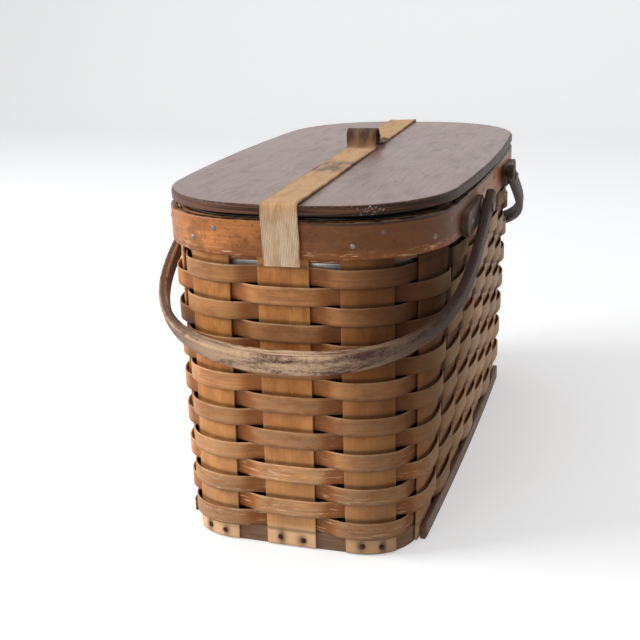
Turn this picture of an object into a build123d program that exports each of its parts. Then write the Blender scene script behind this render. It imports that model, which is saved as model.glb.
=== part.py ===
"""Insulated picnic basket: woven splint body, board lid, tin liner and two bent wood handles.

All sizes are in millimetres.
Frame: +Z up, the basket's length along Y, its width along X, the origin on the floor under the middle.
"""
import math
import os

from build123d import *

# Plan sizes over the rim. The base is drawn in at the sides and stands out at the ends; the lid overhangs
rim_width, rim_length = 265.0, 500.0
base_draw_in, base_stand_out = 19.0, 1.0
lid_overhang_side, lid_overhang_end = 3.5, 4.0

# Plan curves: corner radius, radius of the bowed long side, radius of the bowed short end
rim_corner, rim_side_bow, rim_end_bow = 93.0, 3700.0, 545.0
base_corner, base_side_bow, base_end_bow = 54.0, 9000.0, 2500.0
lid_corner, lid_side_bow, lid_end_bow = 105.0, 2000.0, 330.0

# Heights and walls
rim_top = 294.0
rim_height, rim_wall = 31.0, 6.0
inner_rim_height, inner_rim_wall = 36.0, 4.5
board_thickness, board_clearance = 16.0, 0.92
lid_thickness = 8.6
lid_top_round, lid_foot_round = 2.4, 1.1
gasket_height, gasket_width = 5.3, 9.0
insulation_wall = 12.0
liner_wall = 0.6
liner_skirt_wall, liner_skirt_drop = 0.6, 43.0
pan_wall, pan_depth, pan_flange = 0.6, 18.0, 5.0
fit = 0.3

# Weave
stake_pitch = 65.3
stake_width, stake_thickness = 45.0, 1.8
stake_crowding = 0.007
stake_foot = 1.0
row_height, row_gap = 15.6, 0.3
splint_thickness = 1.4
weave_swing, weave_bias, weave_flatness = 4.4, 0.4, 1.8
steps_per_stake = 8

# Strips along the foot of the long sides
runner_thickness, runner_height = 5.0, 14.0
runner_first_stake = 2
runner_overrun = 16.0

# Nails: shank radius, length, head radius and head height. A pair is placed across its stake and up from
# the floor, or down from the rim's top
nail_shank, nail_head, nail_dome = 0.8, 2.4, 1.1
rim_nail_length, base_nail_length, runner_nail_length = 11.0, 14.0, 16.0
nail_clearance = 0.05
rim_nails_low, rim_nails_high = (-10.0, 19.0), (13.0, 9.0)
base_nails_at = ((-9.0, 8.5), (10.0, 7.5))
runner_nail_count = 5
runner_nail_height = 7.0

# Handles: a bent strip, drawn at rest, when it hangs beside the weave with its grip out past the rim
pivot_from_end, pivot_drop = 171.0, 19.0
grip_stand_off = 13.94
leg_width, leg_thickness = 15.0, 8.0
grip_width, grip_thickness, grip_half_length = 22.0, 11.0, 110.0
handle_reach, leg_straight, leg_end = 208.5, 6.0, 22.0
bend_side_power, bend_end_power = 2.25, 4.1

# Pivots: a wood block on the rim, a washer, and a pin through the leg
block_length, block_height, block_slope = 60.0, 22.0, 3.0
block_thickness = 3.5
washer_thickness, washer_radius = 1.4, 8.0
pin_radius, pin_head, pin_head_height = 3.0, 4.2, 1.8
pin_clearance = 0.05
block_nail_from_pivot = 48.0

# Strap: a web over the lid, in two halves that meet at a metal slide
strap_width, strap_thickness = 31.0, 1.8
strap_drop = 36.5
strap_shift, strap_skew = 3.0, 2.2
strap_lean, strap_ease = 2.6, 20.0
fold_depth, fold_height, fold_foot = 17.0, 19.0, 3.0
slide_bar, slide_near_y, slide_length, slide_height = 1.3, 50.0, 14.0, 4.8
slide_corner = 2.5
strap_tail_near, strap_tail_far, strap_rise = 8.0, 26.0, 15.0

# Screws that hold the pan to the lid
screw_count, screw_shank, screw_head, screw_head_height = 12, 1.1, 2.0, 1.1
screw_depth = 5.0

# Places that follow from the sizes above
base_width, base_length = rim_width - 2 * base_draw_in, rim_length + 2 * base_stand_out
lid_width, lid_length = rim_width + 2 * lid_overhang_side, rim_length + 2 * lid_overhang_end
lid_foot = rim_top + gasket_height
lid_top = lid_foot + lid_thickness
rim_foot = rim_top - rim_height
inner_rim_foot = rim_top - inner_rim_height
row_pitch = row_height + row_gap
weave_foot = board_thickness + row_gap
row_count = int((inner_rim_foot - weave_foot + row_gap) / row_pitch)
half_stake = stake_thickness / 2
half_splint = splint_thickness / 2
outer_gap = half_stake + fit
inner_rim_in = outer_gap + inner_rim_wall
skirt_out = inner_rim_in + fit
skirt_in = skirt_out + liner_skirt_wall
insulation_out = skirt_in + fit
liner_out = insulation_out + insulation_wall + fit
liner_in = liner_out + liner_wall
pan_out = liner_in + 3.0
insulation_top = rim_top - liner_wall - fit
pivot_y, pivot_z = rim_length / 2 - pivot_from_end, rim_top - pivot_drop
hang = math.acos((rim_length / 2 + grip_stand_off - pivot_y) / handle_reach)
block_face = rim_width / 2 + block_thickness
leg_face = block_face + washer_thickness + fit
leg_middle = leg_face + leg_thickness / 2


def make_plan(width, length, corner, side_bow, end_bow, inset=0.0):
    """Half sizes and curves of a plan outline: half width, half length, corner, side bow, end bow."""
    return (width / 2 - inset, length / 2 - inset, corner - inset, side_bow - inset, end_bow - inset)


rim_plan = make_plan(rim_width, rim_length, rim_corner, rim_side_bow, rim_end_bow, rim_wall + outer_gap)
lid_plan = make_plan(lid_width, lid_length, lid_corner, lid_side_bow, lid_end_bow)
base_inset = runner_thickness + outer_gap
base_plan = make_plan(base_width, base_length + 2 * (base_inset - half_stake),
                      base_corner, base_side_bow, base_end_bow, base_inset)


def plan_at(z):
    """The line that the stakes stand on at a height: upright in the rim, and drawn in below it."""
    share = min(max(z / inner_rim_foot, 0.0), 1.0)
    mixed = [low + (high - low) * share for low, high in zip(base_plan[:3], rim_plan[:3])]
    bows = [1 / (1 / low + (1 / high - 1 / low) * share) for low, high in zip(base_plan[3:], rim_plan[3:])]
    return tuple(mixed + bows)


def arcs_of(plan):
    """The eight arcs of a plan from the middle of the near end, as (centre, radius, start, sweep)."""
    half_width, half_length, corner, side_bow, end_bow = plan
    side_back, end_back = side_bow - half_width, end_bow - half_length
    apart = math.hypot(side_back, end_back)
    side_reach, end_reach = side_bow - corner, end_bow - corner
    along = (apart**2 + side_reach**2 - end_reach**2) / (2 * apart)
    across = math.sqrt(side_reach**2 - along**2)
    x = -side_back + (along * side_back + across * end_back) / apart
    y = (across * side_back - along * end_back) / apart
    side_half = math.atan2(y, x + side_back)
    end_half = math.atan2(x, y + end_back)
    turn = math.pi / 2 - side_half - end_half
    down, right, up, left = -math.pi / 2, 0.0, math.pi / 2, math.pi
    return [
        ((0, end_back), end_bow, down, end_half),
        ((x, -y), corner, down + end_half, turn),
        ((-side_back, 0), side_bow, right - side_half, 2 * side_half),
        ((x, y), corner, right + side_half, turn),
        ((0, -end_back), end_bow, up - end_half, 2 * end_half),
        ((-x, y), corner, up + end_half, turn),
        ((side_back, 0), side_bow, left - side_half, 2 * side_half),
        ((-x, -y), corner, left + side_half, turn),
        ((0, end_back), end_bow, down - end_half, end_half),
    ]


def girth(plan):
    """The length once round a plan."""
    return sum(radius * sweep for _, radius, _, sweep in arcs_of(plan))


def spot(plan, along, out=0.0):
    """A point at a distance along a plan and out from it, and the direction that faces out there."""
    along %= girth(plan)
    arcs = arcs_of(plan)
    for centre, radius, start, sweep in arcs:
        if along <= radius * sweep or (centre, start) == (arcs[-1][0], arcs[-1][2]):
            angle = start + along / radius
            reach = radius + out
            return (centre[0] + reach * math.cos(angle), centre[1] + reach * math.sin(angle)), angle
        along -= radius * sweep


def draw_plan(plan, out=0.0, mode=Mode.ADD):
    """Draws a plan's outline as a face in the current sketch, grown outwards by out."""
    with BuildLine() as outline:
        for centre, radius, start, sweep in arcs_of(plan):
            CenterArc(centre, radius + out, math.degrees(start), math.degrees(sweep))
    make_face(outline.edges(), mode=mode)


stake_count = 2 * round(girth(rim_plan) / stake_pitch / 2)
runner_last_stake = stake_count // 2 - runner_first_stake


def stake_share(index):
    """How far round the basket a stake stands, as a share: a little wider apart at the ends."""
    return index / stake_count + stake_crowding * math.sin(4 * math.pi * index / stake_count)


def outward_frame(plan, along, out, z):
    """A place on a wall, with its own +Z facing outwards."""
    (x, y), angle = spot(plan, along, out)
    return Plane(origin=(x, y, z), x_dir=(0, 0, 1), z_dir=(math.cos(angle), math.sin(angle), 0)).location


def save(piece, name):
    """Labels a finished piece and writes it."""
    piece.part.label = name
    export_step(piece.part, f"parts/{name}.step")


os.makedirs("parts", exist_ok=True)

# Where the nails go. A nail in the rim is left out where a pivot block covers it
block_from = pivot_y - block_height / 2
block_to = pivot_y + block_length + block_height / 2


def under_block(place):
    """Whether a place on the rim lies under a pivot block."""
    x, y = place.position.X, place.position.Y
    return abs(x) > lid_width / 4 and block_from - nail_head < abs(y) < block_to + nail_head


rim_nail_places, base_nail_places = [], []
for index in range(stake_count):
    for shift, drop in (rim_nails_low, rim_nails_high):
        along = stake_share(index) * girth(rim_plan) + shift
        place = outward_frame(rim_plan, along, outer_gap + rim_wall, rim_top - drop)
        if not under_block(place):
            rim_nail_places.append(place)
    for shift, z in base_nails_at:
        level = plan_at(z)
        along = stake_share(index) * girth(level) + shift
        on_runner = runner_first_stake <= min(index, stake_count - index) <= runner_last_stake
        if not on_runner:
            base_nail_places.append(outward_frame(level, along, half_stake + fit, z))

runner_plan = plan_at(runner_height)
runner_nail_places = []
for side in (1, -1):
    for step in range(runner_nail_count):
        share = (step + 0.5) / runner_nail_count
        first, last = (stake_share(k) * girth(runner_plan) for k in (runner_first_stake, runner_last_stake))
        along = side * (first + (last - first) * share)
        place = outward_frame(runner_plan, along, outer_gap + runner_thickness, runner_nail_height)
        runner_nail_places.append(place)

slope = math.radians(block_slope)
nail_y = pivot_y + block_nail_from_pivot * math.cos(slope)
nail_z = pivot_z - block_nail_from_pivot * math.sin(slope)
rim_face = rim_width / 2 - rim_side_bow + math.sqrt(rim_side_bow**2 - nail_y**2)
block_nail_length = block_face - rim_face - fit
block_nail_places, pivot_places = [], []
for x_side in (1, -1):
    for y_side in (1, -1):
        pivot_places.append((x_side, y_side))
        origin = (x_side * block_face, y_side * nail_y, nail_z)
        frame = Plane(origin=origin, x_dir=(0, 0, 1), z_dir=(x_side, 0, 0))
        block_nail_places.append(frame.location)


def pin_solid(head, head_height, shank, length):
    """One nail or screw, its rounded head standing on the local XY plane and its shank below it."""
    with BuildPart() as one:
        Cylinder(head, head_height, align=(Align.CENTER, Align.CENTER, Align.MIN))
        fillet(one.edges().group_by(Axis.Z)[-1], head_height * 0.9)
        Cylinder(shank, length, align=(Align.CENTER, Align.CENTER, Align.MAX))
    return one.part


def nail_holes(places, length):
    """Cuts the holes for nails out of the current part."""
    radius = nail_shank + nail_clearance
    with Locations(*places):
        bottom = (Align.CENTER, Align.CENTER, Align.MAX)
        Cylinder(radius, length + nail_clearance, align=bottom, mode=Mode.SUBTRACT)


def near(places, x, y, reach):
    """The places within a reach of a point, seen from above."""
    return [place for place in places if math.hypot(place.position.X - x, place.position.Y - y) < reach]


# Base board
with BuildPart() as base_board:
    for z in (0, board_thickness):
        with BuildSketch(Plane.XY.offset(z)):
            draw_plan(plan_at(z), -half_stake - board_clearance)
    loft(ruled=True)
    nail_holes(base_nail_places, base_nail_length)
    nail_holes(runner_nail_places, runner_nail_length)
save(base_board, "base_board")

# Stakes, one strip each from the board's foot to the top of the rim
for index in range(stake_count):
    with BuildPart() as stake:
        for z in (stake_foot, inner_rim_foot, rim_top):
            level = plan_at(z)
            middle = stake_share(index) * girth(level)
            with BuildSketch(Plane.XY.offset(z)):
                ends = (middle - stake_width / 2, middle, middle + stake_width / 2)
                with BuildLine():
                    outer = ThreePointArc(*[spot(level, along, half_stake)[0] for along in ends])
                    inner = ThreePointArc(*[spot(level, along, -half_stake)[0] for along in ends])
                    Line(outer @ 0, inner @ 0)
                    Line(outer @ 1, inner @ 1)
                make_face()
        loft(ruled=True)
        (x, y), _ = spot(rim_plan, stake_share(index) * girth(rim_plan))
        for places, length in ((rim_nail_places, rim_nail_length), (base_nail_places, base_nail_length),
                               (runner_nail_places, runner_nail_length)):
            close_by = near(places, x, y, stake_width)
            if close_by:
                nail_holes(close_by, length)
    save(stake, f"stake_{index + 1:02d}")


def draw_weave(plan, over, shift):
    """Draws one side of a weaver from above, in arcs that run from each stake to the next."""
    points = []
    for step in range(stake_count * steps_per_stake):
        place = step / steps_per_stake
        swing = math.tanh(weave_flatness * over * math.cos(math.pi * place)) / math.tanh(weave_flatness)
        out = weave_bias + weave_swing * swing + shift
        points.append(spot(plan, stake_share(place) * girth(plan), out)[0])
    points.append(points[0])
    for start in range(0, len(points) - 1, 2):
        ThreePointArc(*points[start:start + 3])


# Weavers, one hoop for each row, numbered from the top. Each swings out over every second stake
for row in range(1, row_count + 1):
    row_foot = weave_foot + (row_count - row) * row_pitch
    level = plan_at(row_foot + row_height / 2)
    over = 1 if row % 2 == 0 else -1
    with BuildLine() as outer_side:
        draw_weave(level, over, half_splint)
    with BuildLine() as inner_side:
        draw_weave(level, over, -half_splint)
    hoop = Pos(0, 0, row_foot) * Face(outer_side.wire(), [inner_side.wire()])
    with BuildPart() as weaver:
        extrude(hoop, amount=row_height, dir=(0, 0, 1), clean=False)
    save(weaver, f"weaver_{row:02d}")

# Rim, an outer and an inner band with the stakes between them
with BuildPart() as rim_outer:
    with BuildSketch(Plane.XY.offset(rim_foot)):
        draw_plan(rim_plan, outer_gap + rim_wall)
    extrude(amount=rim_height)
    rim_edges = rim_outer.edges().group_by(Axis.Z)
    fillet(rim_edges[0] + rim_edges[-1], rim_wall / 4)
    with BuildSketch(Plane.XY.offset(rim_foot)):
        draw_plan(rim_plan, outer_gap)
    extrude(amount=rim_height, mode=Mode.SUBTRACT)
    for x_side, y_side in pivot_places:
        with Locations(Plane(origin=(x_side * rim_width / 2, y_side * pivot_y, pivot_z), z_dir=(1, 0, 0))):
            Cylinder(pin_radius + pin_clearance, 4 * rim_wall, mode=Mode.SUBTRACT)
    nail_holes(rim_nail_places, rim_nail_length)
save(rim_outer, "rim_outer")

with BuildPart() as rim_inner:
    with BuildSketch(Plane.XY.offset(inner_rim_foot)):
        draw_plan(rim_plan, -outer_gap)
        draw_plan(rim_plan, -inner_rim_in, Mode.SUBTRACT)
    extrude(amount=inner_rim_height)
    nail_holes(rim_nail_places, rim_nail_length)
save(rim_inner, "rim_inner")

# Strips that guard the foot of the two long sides
for side, name in ((1, "runner_right"), (-1, "runner_left")):
    first, last = (stake_share(k) * girth(runner_plan) for k in (runner_first_stake, runner_last_stake))
    with BuildPart() as runner:
        with BuildSketch():
            draw_plan(runner_plan, outer_gap + runner_thickness)
            draw_plan(runner_plan, outer_gap, Mode.SUBTRACT)
        extrude(amount=runner_height)
        end_y = abs(spot(runner_plan, first - runner_overrun)[0][1])
        with Locations((side * base_width / 2, 0, runner_height / 2)):
            Box(base_width, 2 * end_y, 2 * runner_height, mode=Mode.INTERSECT)
        nail_holes(runner_nail_places, runner_nail_length)
    save(runner, name)

# Nails, in groups
for places, length, name in (
    (rim_nail_places, rim_nail_length, "rim_nails"),
    (base_nail_places, base_nail_length, "base_nails"),
    (runner_nail_places, runner_nail_length, "runner_nails"),
    (block_nail_places, block_nail_length, "block_nails"),
):
    nail = pin_solid(nail_head, nail_dome, nail_shank, length)
    with BuildPart() as nails:
        with Locations(*places):
            add(nail)
    save(nails, name)

# Insulation, a tub of packed felt between the weave and the liner
with BuildPart() as insulation:
    for z in (board_thickness, inner_rim_foot, insulation_top):
        with BuildSketch(Plane.XY.offset(z)):
            draw_plan(plan_at(z), -insulation_out)
    loft(ruled=True)
    for z in (board_thickness + insulation_wall, inner_rim_foot, insulation_top):
        with BuildSketch(Plane.XY.offset(z)):
            draw_plan(plan_at(z), -insulation_out - insulation_wall)
    loft(ruled=True, mode=Mode.SUBTRACT)
save(insulation, "insulation")

# Liner, a sheet metal tub whose flange covers the insulation and turns down behind the rim
liner_foot = board_thickness + insulation_wall
flange_foot = rim_top - liner_wall
with BuildPart() as liner:
    for z in (liner_foot, inner_rim_foot, flange_foot):
        with BuildSketch(Plane.XY.offset(z)):
            draw_plan(plan_at(z), -liner_out)
    loft(ruled=True)
    with BuildSketch(Plane.XY.offset(flange_foot)):
        draw_plan(rim_plan, -skirt_out)
    extrude(amount=liner_wall)
    for z in (liner_foot + liner_wall, inner_rim_foot, rim_top):
        with BuildSketch(Plane.XY.offset(z)):
            draw_plan(plan_at(z), -liner_in)
    loft(ruled=True, mode=Mode.SUBTRACT)
    with BuildSketch(Plane.XY.offset(flange_foot - liner_skirt_drop)):
        draw_plan(rim_plan, -skirt_out)
        draw_plan(rim_plan, -skirt_in, Mode.SUBTRACT)
    extrude(amount=liner_skirt_drop)
save(liner, "liner")

# Lid: board, felt gasket under it, and a metal pan packed with insulation
screw_plan_in = pan_out - pan_flange / 2
screw_places = []
for index in range(screw_count):
    along = (index + 0.5) * girth(rim_plan) / screw_count
    (x, y), _ = spot(rim_plan, along, -screw_plan_in)
    screw_places.append(Plane(origin=(x, y, lid_foot - pan_wall), z_dir=(0, 0, -1)).location)


def screw_holes():
    """Cuts the screw holes out of the current part."""
    with Locations(*screw_places):
        Cylinder(screw_shank + nail_clearance, 2 * (screw_depth + nail_clearance), mode=Mode.SUBTRACT)


with BuildPart() as lid_board:
    with BuildSketch(Plane.XY.offset(lid_foot)):
        draw_plan(lid_plan)
    extrude(amount=lid_thickness)
    fillet(lid_board.edges().group_by(Axis.Z)[-1], lid_top_round)
    fillet(lid_board.edges().group_by(Axis.Z)[0], lid_foot_round)
    screw_holes()
save(lid_board, "lid_board")

gasket_out = skirt_out + 1.5
with BuildPart() as lid_gasket:
    with BuildSketch(Plane.XY.offset(rim_top)):
        draw_plan(rim_plan, -gasket_out)
        draw_plan(rim_plan, -gasket_out - gasket_width, Mode.SUBTRACT)
    extrude(amount=gasket_height)
save(lid_gasket, "lid_gasket")

with BuildPart() as lid_pan:
    with BuildSketch(Plane.XY.offset(lid_foot - pan_wall)):
        draw_plan(rim_plan, -pan_out + pan_flange)
    extrude(amount=pan_wall)
    with BuildSketch(Plane.XY.offset(lid_foot - pan_depth)):
        draw_plan(rim_plan, -pan_out)
    extrude(amount=pan_depth)
    with BuildSketch(Plane.XY.offset(lid_foot - pan_depth + pan_wall)):
        draw_plan(rim_plan, -pan_out - pan_wall)
    extrude(amount=pan_depth, mode=Mode.SUBTRACT)
    screw_holes()
save(lid_pan, "lid_pan")

with BuildPart() as lid_insulation:
    with BuildSketch(Plane.XY.offset(lid_foot - pan_depth + pan_wall)):
        draw_plan(rim_plan, -pan_out - pan_wall - fit)
    extrude(amount=pan_depth - pan_wall)
save(lid_insulation, "lid_insulation")

screw = pin_solid(screw_head, screw_head_height, screw_shank, screw_depth)
with BuildPart() as lid_screws:
    with Locations(*screw_places):
        add(screw)
save(lid_screws, "lid_screws")


def handle_edge(side):
    """Points along the bend of a handle, on its outer side (1) or its inner side (-1)."""
    points = []
    depth = handle_reach - leg_straight
    bend_steps = 16
    for step in range(bend_steps + 1):
        turn = math.pi * (1 - math.cos(math.pi * step / bend_steps)) / 2
        across = abs(math.cos(turn)) ** (2 / bend_side_power)
        down = math.sin(turn) ** (2 / bend_end_power) if 0 < step < bend_steps else 0.0
        slope_x = bend_side_power / leg_middle * across ** (bend_side_power - 1)
        slope_u = bend_end_power / depth * down ** (bend_end_power - 1)
        thickness = leg_thickness + (grip_thickness - leg_thickness) * math.sin(turn) ** 4
        out = side * thickness / 2 / math.hypot(slope_x, slope_u)
        x = leg_middle * across + out * slope_x
        points.append((math.copysign(x, math.cos(turn)), leg_straight + depth * down + out * slope_u))
    return points


# Handles, each a bent strip whose legs hang from the pivots, and which is thicker and wider at its grip
for y_side, name in ((-1, "handle_near"), (1, "handle_far")):
    origin = (0, y_side * pivot_y, pivot_z)
    across_strip = (0, math.sin(hang), y_side * math.cos(hang))
    down_legs = (0, y_side * math.cos(hang), -math.sin(hang))
    with BuildPart() as handle:
        with BuildSketch(Plane(origin=origin, x_dir=(1, 0, 0), z_dir=across_strip)):
            with BuildLine():
                edges = []
                for side in (1, -1):
                    points = handle_edge(side)
                    bend = Spline(*points, tangents=((0, 1), (0, -1)))
                    start = Line((points[0][0], -leg_end), points[0])
                    stop = Line(points[-1], (points[-1][0], -leg_end))
                    edges.append((start, stop))
                Line(edges[0][0] @ 0, edges[1][0] @ 0)
                Line(edges[0][1] @ 1, edges[1][1] @ 1)
            make_face()
        extrude(amount=grip_width / 2, both=True)
        with BuildSketch(Plane(origin=origin, x_dir=(1, 0, 0), z_dir=down_legs)):
            Rectangle(2 * leg_face + 4 * leg_thickness, leg_width)
            with BuildLine():
                for side in (1, -1):
                    ThreePointArc((-grip_half_length, side * leg_width / 2), (0, side * grip_width / 2),
                                  (grip_half_length, side * leg_width / 2))
                for side in (1, -1):
                    Line((side * grip_half_length, -leg_width / 2), (side * grip_half_length, leg_width / 2))
            make_face()
        extrude(amount=handle_reach + grip_thickness, both=True, mode=Mode.INTERSECT)
        fillet(handle.edges().filter_by(Axis.X), leg_width / 2 - 0.1)
        with Locations(Plane(origin=origin, z_dir=(1, 0, 0))):
            Cylinder(pin_radius + pin_clearance, 3 * leg_middle, mode=Mode.SUBTRACT)
    save(handle, name)

# Pivot blocks, shaped to the rim, with their washers and pins
with BuildPart() as pivot_blocks:
    for x_side, y_side in pivot_places:
        plane = Plane(origin=(x_side * block_face, y_side * pivot_y, pivot_z),
                      x_dir=(0, y_side * math.cos(slope), -math.sin(slope)), z_dir=(-x_side, 0, 0))
        with BuildSketch(plane):
            with Locations((block_length / 2, 0)):
                SlotCenterToCenter(block_length, block_height)
        extrude(amount=block_face - rim_width / 4)
    with BuildSketch(Plane.XY.offset(rim_foot - block_height)):
        draw_plan(rim_plan, outer_gap + rim_wall + fit / 2)
    extrude(amount=rim_height + 2 * block_height, mode=Mode.SUBTRACT)
    nail_holes(block_nail_places, block_nail_length + fit)
    for x_side, y_side in pivot_places:
        with Locations(Plane(origin=(x_side * block_face, y_side * pivot_y, pivot_z), z_dir=(1, 0, 0))):
            Cylinder(pin_radius + pin_clearance, 8 * rim_wall, mode=Mode.SUBTRACT)
save(pivot_blocks, "pivot_blocks")

with BuildPart() as pivot_washers:
    for x_side, y_side in pivot_places:
        plane = Plane(origin=(x_side * block_face, y_side * pivot_y, pivot_z), z_dir=(x_side, 0, 0))
        with BuildSketch(plane):
            Circle(washer_radius)
            Circle(pin_radius + pin_clearance, mode=Mode.SUBTRACT)
        extrude(amount=washer_thickness)
save(pivot_washers, "pivot_washers")

pin_foot = rim_width / 2 - rim_wall + fit
pin_shoulder = leg_face + leg_thickness + fit
with BuildPart() as pivot_pins:
    for x_side, y_side in pivot_places:
        plane = Plane(origin=(x_side * pin_shoulder, y_side * pivot_y, pivot_z), z_dir=(x_side, 0, 0))
        with BuildSketch(plane):
            Circle(pin_radius)
        extrude(amount=pin_foot - pin_shoulder)
        with BuildSketch(plane):
            Circle(pin_head)
        extrude(amount=pin_head_height)
    crowns = pivot_pins.faces().filter_by(Axis.X).group_by(Axis.X)
    fillet(crowns[0].edges() + crowns[-1].edges(), pin_head_height / 2)
save(pivot_pins, "pivot_pins")

# Strap, drawn from the side along its middle line, a little askew. The near half turns back in a fold
half_strap = strap_thickness / 2
strap_turn = lid_top_round + fit + half_strap
strap_level = lid_top + fit + half_strap
strap_end_y = lid_length / 2 + fit + half_strap
slide_z = lid_top + slide_height
bar_turn = slide_bar + fit + half_strap
slide_far_y = slide_near_y + slide_length
fold_far_y = slide_near_y - bar_turn
fold_near_y = fold_far_y - fold_depth
fold_top = strap_level + fold_height
fold_turn = fold_depth / 2 - fit
strap_place = Location((strap_shift, -strap_end_y, 0), (0, 0, strap_skew)) * Location((0, strap_end_y, 0))
strap_side = Plane(strap_place * Plane.YZ.location)

with BuildPart() as strap_near:
    with BuildSketch(strap_side):
        with BuildLine():
            FilletPolyline(
                (-strap_end_y + strap_lean, rim_top - strap_drop),
                (-strap_end_y, lid_foot),
                (-strap_end_y, strap_level),
                (fold_near_y, strap_level),
                (fold_near_y, fold_top),
                (fold_far_y, fold_top),
                (fold_far_y, slide_z),
                radius=(strap_ease, strap_turn, fold_foot, fold_turn, fold_turn),
            )
            CenterArc((slide_near_y, slide_z), bar_turn, 180, 180)
            Line((slide_near_y + bar_turn, slide_z), (slide_near_y + bar_turn, slide_z + strap_tail_near))
        trace(line_width=strap_thickness)
    extrude(amount=strap_width / 2, both=True)
save(strap_near, "strap_near")

with BuildPart() as strap_far:
    with BuildSketch(strap_side):
        with BuildLine():
            FilletPolyline(
                (strap_end_y - strap_lean, rim_top - strap_drop),
                (strap_end_y, lid_foot),
                (strap_end_y, strap_level),
                (slide_far_y + strap_rise, strap_level),
                (slide_far_y, slide_z - bar_turn),
                radius=(strap_ease, strap_turn, strap_rise),
            )
            CenterArc((slide_far_y, slide_z), bar_turn, 270, -180)
            Line((slide_far_y, slide_z + bar_turn),
                 (slide_far_y + strap_tail_far, strap_level + strap_thickness + fit))
        trace(line_width=strap_thickness)
    extrude(amount=strap_width / 2, both=True)
save(strap_far, "strap_far")

slide_half = strap_width / 2 + slide_bar + fit
with BuildPart() as strap_slide:
    with BuildLine(Plane(strap_place * Pos(0, 0, slide_z))) as ring:
        FilletPolyline(
            (-slide_half, slide_near_y), (slide_half, slide_near_y),
            (slide_half, slide_far_y), (-slide_half, slide_far_y),
            radius=slide_corner, close=True,
        )
    with BuildSketch(Plane(origin=ring.line @ 0, z_dir=ring.line % 0)):
        Circle(slide_bar)
    sweep(path=ring.line)
save(strap_slide, "strap_slide")
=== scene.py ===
"""The looks of an insulated picnic basket: woven splint, bent wood, board lid and web strap.

All sizes are in metres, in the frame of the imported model: +Z up, the basket's length along Y.
"""

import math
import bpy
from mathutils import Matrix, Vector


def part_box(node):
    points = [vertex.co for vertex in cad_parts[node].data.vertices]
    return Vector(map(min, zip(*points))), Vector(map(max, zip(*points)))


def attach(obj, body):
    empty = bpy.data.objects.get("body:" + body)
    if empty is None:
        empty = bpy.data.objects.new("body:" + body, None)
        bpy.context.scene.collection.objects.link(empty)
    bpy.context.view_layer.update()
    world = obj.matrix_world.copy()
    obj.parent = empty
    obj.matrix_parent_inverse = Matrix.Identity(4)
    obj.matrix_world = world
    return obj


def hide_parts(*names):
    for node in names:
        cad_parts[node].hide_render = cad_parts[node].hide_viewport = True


bl_info = {
    "name": "Picnic basket",
    "version": (1, 0, 0),
    "blender": (4, 5, 0),
    "location": "View3D > Sidebar > Basket",
    "description": "Makes the visible pieces of a woven picnic basket round its packed model",
    "category": "Object",
}

import bmesh
import bpy
import numpy as np
from mathutils import Matrix, Vector, noise

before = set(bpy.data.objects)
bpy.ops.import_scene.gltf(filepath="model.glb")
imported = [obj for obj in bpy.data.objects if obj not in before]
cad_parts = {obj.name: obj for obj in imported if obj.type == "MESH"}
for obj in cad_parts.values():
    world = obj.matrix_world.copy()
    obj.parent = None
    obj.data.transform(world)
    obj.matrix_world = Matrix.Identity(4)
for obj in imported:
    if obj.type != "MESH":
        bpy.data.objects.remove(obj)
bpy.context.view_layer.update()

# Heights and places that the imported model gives
rim_foot, rim_top = (corner.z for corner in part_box("rim_outer"))
inner_rim_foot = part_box("rim_inner")[0].z
lid_foot, lid_top = (corner.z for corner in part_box("lid_board"))
runner_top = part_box("runner_right")[1].z
row_boxes = {name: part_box(name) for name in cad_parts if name.startswith("weaver_")}
stake_names = sorted(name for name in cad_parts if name.startswith("stake_"))
stake_count = len(stake_names)

# Plan curves of the line that the stakes stand on: half width, half length, corner, side bow, end bow
rim_line = (0.1253, 0.2428, 0.0858, 3.6928, 0.5378)
foot_line = (0.1073, 0.2501, 0.0478, 8.9938, 2.4938)
lid_line = (0.136, 0.254, 0.105, 2.0, 0.33)
stake_crowding = 0.007

# The rows' foot and how far apart they lie
row_heights = sorted(low.z for low, _ in row_boxes.values())
weave_foot, row_pitch = row_heights[0], (row_heights[-1] - row_heights[0]) / (len(row_heights) - 1)

# Where chips show on the lid's edge, and how far they spread
lid_chips = (((0.072, -0.236, 0.304), 0.020), ((0.117, -0.172, 0.305), 0.010))

# Nails at the foot: place across each stake, and height
foot_nails = ((-0.009, 0.0085), (0.010, 0.0075))

# The stakes at the ends of a strip at the foot, counted from the middle of the near end
runner_stakes = (2, 8)


def plan_at(z):
    """The line that the stakes stand on at a height."""
    share = min(max(z / inner_rim_foot, 0.0), 1.0)
    mixed = [low + (high - low) * share for low, high in zip(foot_line[:3], rim_line[:3])]
    bows = [1 / (1 / low + (1 / high - 1 / low) * share) for low, high in zip(foot_line[3:], rim_line[3:])]
    return tuple(mixed + bows)


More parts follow.
